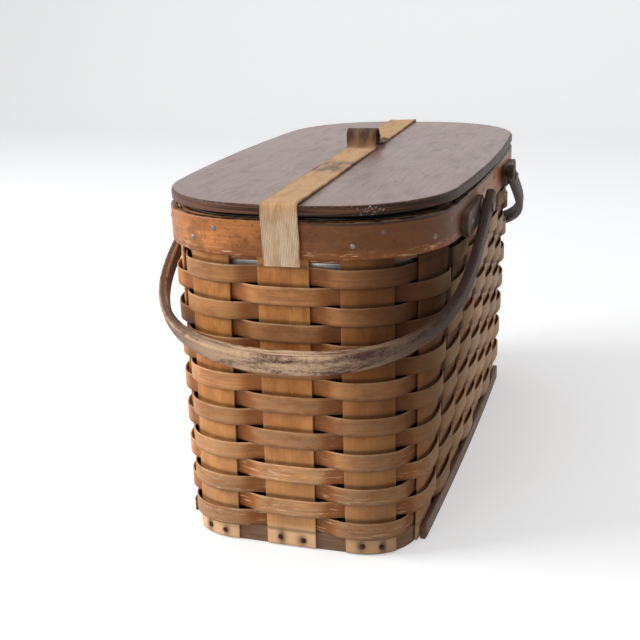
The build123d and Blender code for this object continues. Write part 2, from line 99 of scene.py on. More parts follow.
def arcs_of(plan):
    """The arcs of a plan from the middle of the near end, as (centre, radius, start, sweep)."""
    half_width, half_length, corner, side_bow, end_bow = plan
    side_back, end_back = side_bow - half_width, end_bow - half_length
    apart = math.hypot(side_back, end_back)
    side_reach, end_reach = side_bow - corner, end_bow - corner
    along = (apart**2 + side_reach**2 - end_reach**2) / (2 * apart)
    across = math.sqrt(side_reach**2 - along**2)
    x = -side_back + (along * side_back + across * end_back) / apart
    y = (across * side_back - along * end_back) / apart
    side_half = math.atan2(y, x + side_back)
    end_half = math.atan2(x, y + end_back)
    turn = math.pi / 2 - side_half - end_half
    down, up, left = -math.pi / 2, math.pi / 2, math.pi
    return [
        ((0, end_back), end_bow, down, end_half),
        ((x, -y), corner, down + end_half, turn),
        ((-side_back, 0), side_bow, -side_half, 2 * side_half),
        ((x, y), corner, side_half, turn),
        ((0, -end_back), end_bow, up - end_half, 2 * end_half),
        ((-x, y), corner, up + end_half, turn),
        ((side_back, 0), side_bow, left - side_half, 2 * side_half),
        ((-x, -y), corner, left + side_half, turn),
        ((0, end_back), end_bow, down - end_half, end_half),
    ]


def girth(plan):
    """The length once round a plan."""
    return sum(radius * sweep for _, radius, _, sweep in arcs_of(plan))


def spot(plan, along, out=0.0, z=0.0):
    """A point at a distance along a plan and out from it, and the direction that faces out there."""
    along %= girth(plan)
    arcs = arcs_of(plan)
    for centre, radius, start, sweep in arcs[:-1]:
        if along <= radius * sweep:
            break
        along -= radius * sweep
    else:
        centre, radius, start, sweep = arcs[-1]
    angle = start + along / radius
    facing = Vector((math.cos(angle), math.sin(angle), 0.0))
    return Vector((centre[0], centre[1], z)) + facing * (radius + out), facing


def stake_share(index):
    """How far round the basket a stake stands, as a share: a little wider apart at the ends."""
    return index / stake_count + stake_crowding * math.sin(4 * math.pi * index / stake_count)


def length_property(label, description, default):
    """A length that a user may change."""
    return bpy.props.FloatProperty(name=label, description=description, default=default, unit="LENGTH")


def angle_property(label, description, degrees):
    """An angle that a user may change."""
    turn = math.radians(degrees)
    return bpy.props.FloatProperty(name=label, description=description, default=turn, subtype="ANGLE")


def plain_property(label, description, default):
    """A number without a unit that a user may change."""
    return bpy.props.FloatProperty(name=label, description=description, default=default)


def colour_property(label, description, default):
    """A colour that a user may change."""
    return bpy.props.FloatVectorProperty(
        name=label, description=description, default=default, subtype="COLOR", min=0, max=1)


class BasketSizes(bpy.types.PropertyGroup):
    """Sizes of the visible pieces."""
    splint: length_property("Splint", "Thickness of the woven rows", 0.0014)
    stake: length_property("Stake", "Thickness of the stakes", 0.0018)
    stake_width: length_property("Stake width", "Width of the stakes", 0.045)
    swing: length_property("Swing", "How far a row swings to each side of the stakes", 0.0044)
    bias: length_property("Bias", "How far the rows lie out from the stakes' line", 0.0004)
    flatness: plain_property("Flatness", "How flat a row lies over each stake", 1.8)
    clearance: length_property("Clearance", "Room between the pieces of a wall", 0.0003)
    rim: length_property("Rim", "Thickness of the outer rim band", 0.006)
    inner_rim: length_property("Inner rim", "Thickness of the inner rim band", 0.0045)
    runner: length_property("Runner", "Thickness of the strips at the foot", 0.005)
    runner_overrun: length_property("Runner overrun", "How far a strip passes its last stake's middle", 0.016)
    lid_round: length_property("Lid edge", "Rounding of the lid's upper edge", 0.0024)
    gasket: length_property("Seal", "Width of the felt seal", 0.009)
    gasket_inset: length_property("Seal inset", "How far the seal lies in from the stakes' line", 0.0075)
    pivot_y: length_property("Pivot", "Distance of the handle pivots from the basket's middle", 0.079)
    pivot_z: length_property("Pivot height", "Height of the handle pivots", 0.275)
    hang: angle_property("Hang", "How far a handle leans down at rest", 27.5)
    leg_width: length_property("Leg width", "Width of a handle's leg", 0.015)
    leg_thickness: length_property("Leg thickness", "Thickness of a handle's leg", 0.008)
    grip_width: length_property("Grip width", "Width of the grip at its middle", 0.022)
    grip_thickness: length_property("Grip thickness", "Thickness of the grip at its middle", 0.011)
    grip_half_length: length_property(
        "Grip length", "From the middle of the grip to where it is as narrow as the legs", 0.110)
    handle_round: length_property("Handle rounding", "Rounding of the handle's edges", 0.0026)
    handle_reach: length_property("Handle reach", "From the pivot to the middle of the grip", 0.2085)
    leg_straight: length_property("Straight leg", "Length of the straight part of a leg", 0.006)
    leg_end: length_property("Leg end", "Length of a leg past its pivot", 0.022)
    leg_middle: length_property("Leg place", "Distance of a leg's middle from the basket's middle", 0.1417)
    bend_side_power: plain_property(
        "Bend at the sides", "How square the handle's bend is towards its sides", 2.25)
    bend_end_power: plain_property("Bend at the end", "How square the handle's bend is towards its grip", 4.1)
    strap_width: length_property("Web width", "Width of the web strap", 0.031)
    strap_thickness: length_property("Web", "Thickness of the web strap", 0.0018)
    strap_drop: length_property("Strap end", "How far the strap hangs down below the rim's top", 0.0365)
    strap_lean: length_property("Strap lean", "How far the strap's ends draw in", 0.0026)
    strap_shift: length_property("Strap place", "How far the strap is off the middle at the near end", 0.003)
    strap_skew: angle_property("Strap skew", "How far the strap lies turned", 2.2)
    strap_rise: length_property("Strap rise", "Length over which the far half rises to the slide", 0.015)
    fold_depth: length_property("Fold depth", "Depth of the standing fold", 0.017)
    fold_height: length_property("Fold height", "Height of the standing fold", 0.019)
    slide_bar: length_property("Slide bar", "Radius of the slide's wire", 0.0013)
    slide_near: length_property("Slide place", "Where the slide's near bar lies along the basket", 0.050)
    slide_length: length_property("Slide length", "Distance between the slide's bars", 0.014)
    slide_height: length_property("Slide height", "Height of the slide over the lid", 0.0048)
    tail_near: length_property("Near tail", "Length of the near half's tail past the slide", 0.008)
    tail_far: length_property("Far tail", "Length of the far half's tail past the slide", 0.026)
    nail_head: length_property("Nail head", "Radius of a nail's head", 0.0024)
    nail_dome: length_property("Nail dome", "Height of a nail's head", 0.0011)


class BasketColours(bpy.types.PropertyGroup):
    """Colours of the finishes."""
    splint: colour_property("Splint", "Middle tone of the woven rows", (0.58, 0.245, 0.078))
    stake: colour_property("Stake", "Middle tone of the stakes", (0.58, 0.238, 0.062))
    rim: colour_property("Rim", "Middle tone of the rim bands", (0.54, 0.195, 0.050))
    runner: colour_property("Runner", "Middle tone of the strips at the foot", (0.150, 0.072, 0.038))
    lid: colour_property("Lid", "Middle tone of the lid", (0.255, 0.150, 0.124))
    handle: colour_property("Handle", "Middle tone of the handles", (0.105, 0.047, 0.034))
    block: colour_property("Block", "Middle tone of the blocks behind the handles", (0.058, 0.028, 0.018))
    board: colour_property("Board", "Middle tone of the base board", (0.21, 0.112, 0.058))
    worn: colour_property("Worn wood", "Bare wood where the finish has gone", (0.66, 0.42, 0.23))
    web: colour_property("Web", "Middle tone of the strap over the lid", (0.82, 0.475, 0.235))
    web_drop: colour_property("Hanging web", "Middle tone of the strap's end", (1.0, 0.74, 0.50))
    metal: colour_property("Liner metal", "Sheet metal of the liner", (0.72, 0.72, 0.70))
    iron: colour_property("Iron", "Nails, pins and washers", (0.20, 0.175, 0.16))
    rust: colour_property("Rust", "Nails at the foot", (0.085, 0.040, 0.022))
    # Kept near black: partly dark felt, partly painted shade where the felt shows in the gaps between rows
    # and under the lid
    felt: colour_property("Felt", "Packing felt", (0.026, 0.021, 0.017))


# Node helpers, for shader trees and geometry trees alike
def put(tree, kind, values=None, **settings):
    """Adds a node, with its settings, and fills its inputs with values or with other nodes' outputs."""
    node = tree.nodes.new(kind)
    for key, value in settings.items():
        setattr(node, key, value)
    for key, value in (values or {}).items():
        if isinstance(value, bpy.types.NodeSocket):
            tree.links.new(value, node.inputs[key])
        else:
            node.inputs[key].default_value = value
    return node


def maths(tree, operation, first, second=0.0):
    """One sum of two numbers."""
    return put(tree, "ShaderNodeMath", {0: first, 1: second}, operation=operation).outputs[0]


def between(tree, value, low, high, smooth=True):
    """How far a value has got from low to high, from 0 to 1."""
    kind = "SMOOTHSTEP" if smooth else "LINEAR"
    return put(tree, "ShaderNodeMapRange", {0: value, 1: low, 2: high}, interpolation_type=kind).outputs[0]


def level(tree, share, low, high):
    """The number that lies between two others by a share."""
    return put(tree, "ShaderNodeMapRange", {0: share, 3: low, 4: high}).outputs[0]


def seen_rays(tree):
    """1 where the background is looked at, straight or in a gloss, and 0 where it only gives light."""
    ray = put(tree, "ShaderNodeLightPath").outputs
    seen = maths(tree, "MAXIMUM", ray["Is Camera Ray"], ray["Is Glossy Ray"])
    return maths(tree, "MAXIMUM", seen, ray["Is Transmission Ray"])


def shade(colour, factor, warm=0.0):
    """A colour made lighter or darker, and warmer or cooler."""
    red, green, blue = colour[0], colour[1], colour[2]
    return (min(red * factor * (1 + warm), 1), min(green * factor, 1), min(blue * factor * (1 - warm), 1), 1)


class Paint:
    """A material in the making: its nodes, the places that its patterns read, and its colour so far.

    A share is a number, a node's output, or (value, low, high): how far a value has got from low to high.
    """

    def __init__(self, name, colour, roughness=0.5, specular=0.5, metallic=0.0, on_strip=False):
        self.material = bpy.data.materials.new(name)
        self.material.use_nodes = True
        self.tree = self.material.node_tree
        self.shader = self.tree.nodes["Principled BSDF"]
        self.give("Roughness", roughness)
        self.give("Specular IOR Level", specular)
        self.give("Metallic", metallic)
        self.colour = colour
        self.place = put(self.tree, "ShaderNodeTexCoord").outputs["Object"]
        self.x, self.y, self.z = put(self.tree, "ShaderNodeSeparateXYZ", {0: self.place}).outputs
        self.pattern = self.read_strip() if on_strip else self.place

    def read_strip(self):
        """The place along the strip and sideways on it, and a third number that differs between strips."""
        uv = put(self.tree, "ShaderNodeUVMap", uv_map="strip").outputs[0]
        self.along, self.sideways, _ = put(self.tree, "ShaderNodeSeparateXYZ", {0: uv}).outputs
        apart = self.product(self.number("tone"), 7.0)
        place = put(self.tree, "ShaderNodeCombineXYZ", {0: self.along, 1: self.sideways, 2: apart})
        return place.outputs[0]

    def give(self, socket, value):
        """Sets one of the shader's inputs, or links it."""
        if isinstance(value, bpy.types.NodeSocket):
            self.tree.links.new(value, self.shader.inputs[socket])
        else:
            self.shader.inputs[socket].default_value = value

    def number(self, name):
        """A number that the piece carries at each point."""
        return put(self.tree, "ShaderNodeAttribute", attribute_name=name).outputs["Fac"]

    def noise(self, scale, detail, roughness=0.55):
        """Noise from 0 to 1, finer along each axis by its scale."""
        place = put(self.tree, "ShaderNodeMapping", {"Vector": self.pattern, "Scale": scale}).outputs[0]
        values = {"Vector": place, "Scale": 1.0, "Detail": detail, "Roughness": roughness}
        return put(self.tree, "ShaderNodeTexNoise", values).outputs["Fac"]

    def wave(self, value, length):
        """A smooth wave from 0 to 1 along a value."""
        wave = maths(self.tree, "SINE", self.product(value, math.tau / length))
        return between(self.tree, wave, -1.0, 1.0, smooth=False)

    def near(self, point, reach):
        """1 at a point of the model, falling to 0 at a distance from it."""
        gone = put(self.tree, "ShaderNodeVectorMath", {0: self.place, 1: point}, operation="DISTANCE")
        return between(self.tree, gone.outputs["Value"], reach, 0.0)

    def shaded_side(self):
        """Grows from 0 to 1 towards the basket's right near corner and higher up, where painted shade darkens
        the rows and stakes.
        """
        high = level(self.tree, between(self.tree, self.z, 0.03, 0.24, smooth=False), 0.40, 1.0)
        return self.product((self.x, 0.02, 0.100), (self.y, 0.0, -0.12), high)

    def product(self, *shares):
        """All shares multiplied."""
        numbers = [between(self.tree, *share) if isinstance(share, tuple) else share for share in shares]
        total = numbers[0]
        for other in numbers[1:]:
            total = maths(self.tree, "MULTIPLY", total, other)
        return total

    def total(self, first, second, weight=1.0):
        """The first number and a part of the second."""
        return maths(self.tree, "ADD", first, self.product(second, weight))

    def level(self, share, low, high):
        """The number that lies between two others by a share."""
        return level(self.tree, self.product(share), low, high)

    def cover(self, colour, *shares):
        """Lays a colour over the one so far, as strongly as all the shares together say."""
        values = {0: self.product(*shares), 6: self.colour, 7: colour}
        self.colour = put(self.tree, "ShaderNodeMix", values, data_type="RGBA").outputs[2]

    def dim(self, share, low, high):
        """Multiplies the colour so far by a factor that goes from low to high with a share."""
        if isinstance(self.colour, tuple):
            self.colour = self.colour[:3]
        values = {0: self.colour, "Scale": self.level(share, low, high)}
        self.colour = put(self.tree, "ShaderNodeVectorMath", values, operation="SCALE").outputs[0]

    def done(self, height, depth, roughness=None):
        """Gives the shader its colour, relief and roughness, and hands out the material."""
        self.give("Base Color", self.colour)
        if roughness is not None:
            self.give("Roughness", roughness)
        bump = put(self.tree, "ShaderNodeBump", {"Height": height, "Distance": depth, "Strength": 1.0})
        self.give("Normal", bump.outputs[0])
        return self.material


# Colours of painted light that no size or colour sets: a brown for painted shade, a near black for painted
# shadow under the lid, and a straw for painted highlight on lit crests
painted_shade_brown = (0.062, 0.022, 0.009, 1)
painted_shadow_black = (0.030, 0.014, 0.008, 1)
painted_highlight_straw = (0.40, 0.26, 0.135, 1)


def row_finish(name, colour, worn):
    """Varnished splint of the rows: dull crests, red-dark ends partly painted shade, upper edges rubbed and
    with a painted highlight, a painted shade line along the lower edges, and cream scuffs.
    """
    paint = Paint(name, shade(colour, 0.50, 0.20), specular=0.25, on_strip=True)
    lines = paint.noise((8, 620, 1), 5, 0.68)
    fibres = paint.noise((60, 2600, 1), 3)
    blotch = paint.noise((26, 60, 1.3), 6, 0.66)
    wear = paint.noise((55, 520, 1.7), 5, 0.72)
    flecks = paint.noise((60, 210, 1.4), 7, 0.78)
    crest, shaded = paint.number("crest"), paint.shaded_side()
    upwards = paint.product(paint.sideways, -1.0)
    rubbed_and_lit_upper_edge, painted_shade_lower_edge = (upwards, 0.0058, 0.0077), (upwards, -0.0078, -0.0050)
    low_down = between(paint.tree, paint.z, 0.21, 0.05, smooth=False)
    foot, long_side = (paint.z, 0.13, 0.02), (paint.x, 0.104, 0.122)
    corner = paint.product(shaded, (paint.y, -0.16, -0.21))
    paint.cover(shade(colour, 1.12, 0.02), (blotch, 0.38, 0.62))
    paint.cover(shade(colour, 0.84, -0.07), crest, 0.55, (blotch, 0.30, 0.62))
    paint.dim((lines, 0.34, 0.68), 0.85, 1.12)
    paint.cover(shade(worn, 0.75), (fibres, 0.50, 0.74), 0.25)
    paint.cover(shade(worn, 0.66, -0.03), crest, paint.level(low_down, 0.15, 0.75), (flecks, 0.36, 0.62))
    # Red-dark where the row dives under a stake: partly less worn and dusty, partly painted shade
    paint.cover(shade(colour, 0.36, 0.28), (crest, 1.0, 0.0), 0.85)
    paint.cover(shade(worn, 1.05), (wear, 0.55, 0.63), paint.level(foot, 0.12, 1.0))
    # Upper edges paler: partly rubbed wear, partly a painted highlight where light catches them
    paint.cover(shade(worn, 1.0, 0.02), rubbed_and_lit_upper_edge, (wear, 0.30, 0.62), 0.75)
    # Painted shade: a darker line along each row's lower edge
    paint.dim(painted_shade_lower_edge, 0.62, 1.0)
    paint.dim(paint.number("tone"), 0.66, 1.14)
    paint.dim(low_down, 1.0, 1.30)
    # Painted shade towards the basket's right near corner, stronger higher up
    paint.cover(painted_shade_brown, shaded, 0.90)
    # Painted highlight: the long side's crests straw-pale where light grazes them, less so at the near
    # corner, which is in painted shade
    paint.cover(painted_highlight_straw, long_side, crest, paint.level(corner, 0.55, 0.05))
    # Painted shade: near black where the rows dive under the stakes on the long side
    paint.cover((0.026, 0.014, 0.009, 1), long_side, 0.85, (crest, 0.50, 0.12))
    rough = paint.level(shaded, paint.level(wear, 0.38, 0.62), 0.95)
    return paint.done(paint.total(lines, fibres, 0.6), 0.00022, rough)


def stake_finish(name, colour, worn):
    """Varnished stakes: orange, with painted shade and some dirt beside the rows that cross them, pale feet
    and rust at the foot nails.
    """
    paint = Paint(name, shade(colour, 0.72, 0.10), specular=0.25, on_strip=True)
    lines = paint.noise((9, 520, 1), 5, 0.66)
    blotch = paint.noise((32, 60, 1.3), 4)
    wear = paint.noise((90, 420, 1.7), 5, 0.7)
    shaded = paint.shaded_side()
    low_down = between(paint.tree, paint.z, 0.16, 0.02, smooth=False)
    foot, long_side = (paint.z, 0.024, 0.014), (paint.x, 0.100, 0.118)
    two_rows = 2 * row_pitch
    rows_passed = maths(paint.tree, "DIVIDE", maths(paint.tree, "SUBTRACT", paint.z, weave_foot), two_rows)
    window = maths(paint.tree, "FRACT", paint.total(rows_passed, paint.number("parity"), 0.5))
    from_row = paint.product(maths(paint.tree, "PINGPONG", window, 0.25), two_rows)
    paint.cover(shade(colour, 1.14, -0.02), (blotch, 0.36, 0.64))
    paint.dim((lines, 0.34, 0.68), 0.91, 1.07)
    paint.cover(shade(worn, 0.72, 0.02), low_down, 0.40)
    paint.cover(shade(worn, 1.18, 0.02), foot, 0.85)
    # Painted shade, with some dirt: darker near the edges of each window between the rows that cross the
    # stake
    paint.dim((from_row, 0.0, 0.0032), 0.48, 1.0)
    paint.cover(shade(worn, 0.9), (wear, 0.62, 0.70), 0.35)
    paint.cover(shade(worn, 0.85), paint.number("edge"), (wear, 0.38, 0.60), 0.5)
    paint.dim(paint.number("tone"), 0.78, 1.04)
    paint.dim((paint.z, 0.22, 0.05), 1.0, 1.30)
    # Painted shade towards the basket's right near corner, stronger higher up
    paint.cover(painted_shade_brown, shaded, 0.90)
    # Painted shade: darker on the long side, where the stakes lie deep in the gaps between rows
    paint.dim(long_side, 1.0, 0.70)
    paint.cover((0.030, 0.016, 0.010, 1), paint.number("stain"))
    return paint.done(paint.total(lines, wear, 0.5), 0.00022, paint.level(shaded, 0.48, 0.95))


def rim_finish(name, colour, worn):
    """Old varnish on bent wood: fine long lines, red-dark spots and runs, a worn pale lower edge, painted
    shade to the right and painted shadow under the lid.
    """
    paint = Paint(name, shade(colour, 0.78, 0.06), specular=0.3, on_strip=True)
    lines = paint.noise((6, 460, 1), 5, 0.65)
    glow = paint.noise((12, 40, 2), 3)
    dark = paint.noise((34, 46, 1.5), 7, 0.76)
    spots = paint.noise((260, 360, 1.5), 3, 0.6)
    wear = paint.noise((70, 520, 1.7), 5, 0.72)
    upwards = paint.product(paint.sideways, -1.0)
    low_edge, lower_arris = (upwards, -0.0070, -0.0125), (upwards, -0.0060, -0.0135)
    lip = (upwards, 0.0142, 0.0154)
    upper_face, under_lid = (paint.z, 0.2930, 0.2938), (paint.z, 0.2905, 0.2925)
    paint.cover(shade(colour, 1.22, -0.02), (glow, 0.36, 0.64))
    paint.dim((lines, 0.34, 0.68), 0.84, 1.14)
    paint.cover(shade(colour, 0.34, 0.10), (dark, 0.43, 0.62), 0.72)
    paint.cover(shade(colour, 0.22, 0.30), (spots, 0.60, 0.68), 0.75)
    # Darker towards the right of the near end: partly painted shade where the band turns away from the light,
    # partly darker old varnish
    paint.cover(shade(colour, 0.20, 0.10), (paint.x, -0.10, 0.11), (paint.y, 0.0, -0.14), 0.88)
    paint.cover(shade(colour, 0.40, 0.20), low_edge, (dark, 0.36, 0.52))
    paint.cover(shade(worn, 1.12, 0.03), lower_arris, (wear, 0.54, 0.62), 0.85)
    # Painted shadow: near black on the band's top face, and on a strip just under it towards the right, under
    # the lid
    paint.cover(painted_shadow_black, upper_face, 0.9)
    paint.cover(painted_shadow_black, under_lid, (paint.x, -0.02, 0.06), 0.9)
    paint.cover(shade(worn, 0.9, 0.05), lip, (wear, 0.40, 0.60), 0.45)
    height = paint.total(paint.product(lines, 0.7), wear, 0.5)
    return paint.done(height, 0.00022, paint.level(dark, 0.30, 0.52))


def lid_finish(name, colour, worn):
    """Dark stained board: fine streaks along it, reddish clouds, dents, and a layered edge with chips."""
    paint = Paint(name, shade(colour, 1.0), specular=0.6)
    streaks = paint.noise((300, 16, 300), 6, 0.70)
    flame = paint.noise((64, 30, 64), 6, 0.66)
    clouds = paint.noise((15, 9, 15), 4)
    pores = paint.noise((1500, 90, 1500), 3)
    cracks = paint.noise((330, 26, 330), 4, 0.6)
    flecks = paint.noise((420, 420, 420), 4, 0.7)
    layers = paint.noise((9, 9, 900), 3)
    edge = paint.number("edge")
    paint.dim((streaks, 0.32, 0.70), 0.78, 1.24)
    paint.cover((0.235, 0.098, 0.062, 1), (clouds, 0.46, 0.66), 0.50)
    paint.cover(shade(colour, 0.36, 0.10), (flame, 0.52, 0.66), 0.55)
    paint.dim((pores, 0.40, 0.66), 0.86, 1.08)
    paint.cover(shade(colour, 0.22), (cracks, 0.62, 0.70), 0.8)
    top_colour, paint.colour = paint.colour, shade(colour, 0.16, 0.06)
    paint.cover(shade(colour, 0.50, 0.34), (layers, 0.42, 0.60))
    # Painted shade: the edge darker towards the right, which faces away from the light
    paint.dim((paint.x, 0.05, 0.13), 1.0, 0.40)
    edge_colour, paint.colour = paint.colour, top_colour
    paint.cover(edge_colour, edge)
    paint.cover(shade(worn, 0.42, -0.05), paint.number("arris"), (flecks, 0.50, 0.62), 0.45)
    paint.cover((0.42, 0.34, 0.28, 1), edge, (flecks, 0.66, 0.72), 0.6)
    for point, reach in lid_chips:
        paint.cover((0.60, 0.54, 0.48, 1), paint.near(point, reach), (flecks, 0.56, 0.62), edge, 0.8)
    paint.give("Coat Roughness", 0.35)
    paint.give("Coat Weight", paint.level(edge, 0.35, 0.0))
    paint.give("Specular IOR Level", paint.level(edge, 0.7, 0.12))
    grooves = paint.total(paint.product(streaks, 0.8), (cracks, 0.66, 0.76), -0.5)
    return paint.done(paint.total(grooves, flame, 1.4), 0.0005, paint.level(flame, 0.32, 0.46))


def handle_finish(name, colour, worn):
    """Dark wood that hands have rubbed: fine mottling, tan edges, and a pale grey stretch at the grip."""
    paint = Paint(name, shade(colour, 1.0), specular=0.18, on_strip=True)
    lines = paint.noise((24, 520, 1), 6, 0.75)
    mottle = paint.noise((210, 380, 1), 9, 0.85)
    patches = paint.noise((22, 90, 1), 4, 0.6)
    rubbing = paint.total(mottle, patches)
    paint.dim((lines, 0.32, 0.70), 0.62, 1.45)
    paint.cover(shade(worn, 0.42, -0.04), (mottle, 0.46, 0.66), 0.40)
    paint.cover(shade(colour, 1.7, 0.02), (patches, 0.46, 0.62), 0.30)
    paint.cover((0.78, 0.54, 0.34, 1), paint.number("crest"), (rubbing, 0.80, 1.12))
    bare_edge = paint.level((paint.x, -0.06, 0.09), 0.95, 0.30)
    paint.cover(shade(worn, 1.0), paint.number("edge"), (rubbing, 0.80, 1.16), bare_edge)
    # Painted shade: darker towards the right, away from the light
    paint.dim((paint.x, 0.02, 0.12), 1.0, 0.42)
    return paint.done(paint.total(lines, mottle, 0.6), 0.0003, paint.level(mottle, 0.40, 0.62))


def plain_wood_finish(name, colour, worn, pale):
    """Plain or hidden wood, from the place in the model, paler where it is rubbed."""
    paint = Paint(name, shade(colour, 1.0), roughness=0.55, specular=0.4)
    lines = paint.noise((22, 16, 480), 5, 0.62)
    patches = paint.noise((44, 26, 60), 4)
    paint.dim((lines, 0.34, 0.68), 0.80, 1.20)
    paint.cover(shade(worn, 0.6), (patches, 0.54, 0.66), pale)
    return paint.done(lines, 0.0002)


def runner_finish(name, colour, worn):
    """The dark strips at the foot: long cracks, and splinters of bare wood."""
    paint = Paint(name, shade(colour, 1.0), specular=0.4, on_strip=True)
    lines = paint.noise((7, 420, 1), 6, 0.7)
    cracks = paint.noise((5, 300, 3), 3)
    wear = paint.noise((40, 420, 1.7), 5, 0.7)
    paint.dim((lines, 0.34, 0.68), 0.55, 1.5)
    paint.cover(shade(worn, 0.55), (wear, 0.58, 0.68), 0.6)
    paint.cover((0.012, 0.008, 0.006, 1), (cracks, 0.62, 0.66))
    return paint.done(paint.total(lines, (cracks, 0.58, 0.68), -1.0), 0.0006)


def web_finish(name, colour, drop_colour):
    """Ribbed cotton web: ribs along with painted shade between them, threads across, a dark stain, darker at
    the fold, paler where it hangs.
    """
    rib_width, thread_width = 0.0014, 0.0009
    paint = Paint(name, shade(colour, 1.0), roughness=0.9, specular=0.15, on_strip=True)
    ribs, threads = paint.wave(paint.sideways, rib_width), paint.wave(paint.along, thread_width)
    fuzz = paint.noise((500, 1600, 1), 3)
    age = paint.noise((34, 110, 1), 5, 0.62)
    runs = paint.noise((60, 900, 1), 4, 0.7)
    blots = paint.total(paint.product(age, 0.6), runs, 0.4)
    hanging, grooves = paint.number("drop"), paint.level(ribs, 1.0, 0.0)
    paint.cover(shade(drop_colour, 1.0), hanging)
    # Painted shade in the grooves between the ribs, stronger where the web hangs
    paint.cover(shade(colour, 0.36), grooves, paint.level(hanging, 0.20, 0.48))
    paint.dim(threads, 0.88, 1.04)
    paint.cover(shade(drop_colour, 1.15), (fuzz, 0.52, 0.72), 0.35)
    paint.cover(shade(colour, 0.58, 0.12), (age, 0.44, 0.66), 0.60)
    paint.cover(shade(colour, 0.32, 0.12), (paint.number("edge"), 0.80, 1.0), (runs, 0.40, 0.60), 0.75)
    # Darker at the standing fold
    paint.cover((0.080, 0.036, 0.020, 1), paint.number("crest"), paint.level((age, 0.34, 0.60), 0.75, 1.0))
    paint.cover((0.115, 0.088, 0.074, 1), paint.number("stain"), (blots, 0.36, 0.56), 0.9)
    paint.give("Sheen Weight", 0.2)
    paint.give("Sheen Roughness", 0.5)
    return paint.done(paint.total(ribs, threads, 0.35), 0.0004)


def metal_finish(name, colour, roughness, rust, painted_shade_right=0.0):
    """Dull metal with spots and stains, and painted shade towards the right by the share it is given."""
    paint = Paint(name, shade(colour, 1.15), metallic=0.85)
    spots = paint.noise((55, 55, 55), 5, 0.65)
    grain = paint.noise((900, 900, 900), 3)
    paint.cover(shade(colour, 0.7), (spots, 0.4, 0.66))
    paint.cover((0.16, 0.06, 0.025, 1), (spots, 0.56, 0.7), rust)
    # Painted shade: darker towards the right, by the share given
    paint.cover((0.060, 0.050, 0.042, 1), (paint.x, 0.035, 0.060), painted_shade_right)
    return paint.done(paint.total(grain, spots), 0.0002, paint.level(spots, roughness * 0.8, roughness * 1.4))


def felt_finish(name, colour):
    """Packed fibre felt."""
    paint = Paint(name, shade(colour, 0.65), roughness=0.95, specular=0.1)
    tufts = paint.noise((160, 160, 160), 6, 0.75)
    hairs = paint.noise((900, 300, 900), 4)
    paint.cover(shade(colour, 1.3), (tufts, 0.36, 0.66))
    paint.cover(shade(colour, 1.6), (hairs, 0.5, 0.7), 0.4)
    return paint.done(paint.total(tufts, hairs), 0.0012)


finish_makers = {
    "Weave splint": lambda c: row_finish("Weave splint", c.splint, c.worn),
    "Stake splint": lambda c: stake_finish("Stake splint", c.stake, c.worn),
    "Rim wood": lambda c: rim_finish("Rim wood", c.rim, c.worn),
    "Runner wood": lambda c: runner_finish("Runner wood", c.runner, c.worn),
    "Lid wood": lambda c: lid_finish("Lid wood", c.lid, c.worn),
    "Handle wood": lambda c: handle_finish("Handle wood", c.handle, c.worn),
    "Block wood": lambda c: plain_wood_finish("Block wood", c.block, c.worn, 0.30),
    "Board wood": lambda c: plain_wood_finish("Board wood", c.board, c.worn, 0.20),
    "Cotton web": lambda c: web_finish("Cotton web", c.web, c.web_drop),
    # The liner gets painted shade towards the right
    "Liner metal": lambda c: metal_finish("Liner metal", c.metal, 0.34, 0.15, painted_shade_right=0.85),
    "Dark iron": lambda c: metal_finish("Dark iron", c.iron, 0.45, 0.5),
    "Rusty iron": lambda c: metal_finish("Rusty iron", c.rust, 0.75, 0.9),
    "Felt": lambda c: felt_finish("Felt", c.felt),
}


def finish(name):
    """The material of that name, made when it is first asked for."""
    found = bpy.data.materials.get(name)
    return found or finish_makers[name](bpy.context.scene.basket_colours)


# Mesh helpers
def new_piece(name, mesh):
    """An object that shows a mesh."""
    piece = bpy.data.objects.new(name, mesh)
    bpy.context.scene.collection.objects.link(piece)
    return piece


def give_numbers(mesh, name, values):
    """Stores one number at each vertex."""
    layer = mesh.attributes.new(name, "FLOAT", "POINT")
    layer.data.foreach_set("value", np.asarray(values, np.float32))


def give_ways(mesh, ways):
    """Stores the way outwards at each vertex."""
    layer = mesh.attributes.new("outward", "FLOAT_VECTOR", "POINT")
    layer.data.foreach_set("vector", [value for way in ways for value in way])


def smooth(mesh):
    """Shades a mesh smooth."""
    mesh.polygons.foreach_set("use_smooth", [True] * len(mesh.polygons))


def grid_faces(rows, columns, closed=False):
    """Quads between rows of points, where a closed row joins its last point to its first."""
    return [
        (row * columns + here, row * columns + after, (row + 1) * columns + after, (row + 1) * columns + here)
        for row in range(rows - 1)
        for here, after in [(k, (k + 1) % columns) for k in range(columns if closed else columns - 1)]
    ]


def surface(name, points, faces, material, places=None, **numbers):
    """A smooth mesh with its finish, its places on the strip as a UV map, and its numbers at each vertex."""
    mesh = bpy.data.meshes.new(name)
    mesh.from_pydata(points, [], faces)
    if places:
        uv = mesh.uv_layers.new(name="strip")
        for loop in mesh.loops:
            uv.data[loop.index].uv = places[loop.vertex_index]
    for key, values in numbers.items():
        give_numbers(mesh, key, values)
    mesh.materials.append(finish(material))
    smooth(mesh)
    return mesh


def settle(piece, body, material_slot, *nodes):
    """Makes the modifiers part of the mesh, and fixes the piece to its body."""
    graph = bpy.context.evaluated_depsgraph_get()
    made = bpy.data.meshes.new_from_object(piece.evaluated_get(graph), depsgraph=graph)
    piece.modifiers.clear()
    piece.data = made
    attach(piece, body)
    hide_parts(*nodes)
    return piece


def even_shading(piece):
    """Keeps a piece's flat faces flat to the light."""
    return piece.modifiers.new("Even shading", "WEIGHTED_NORMAL")


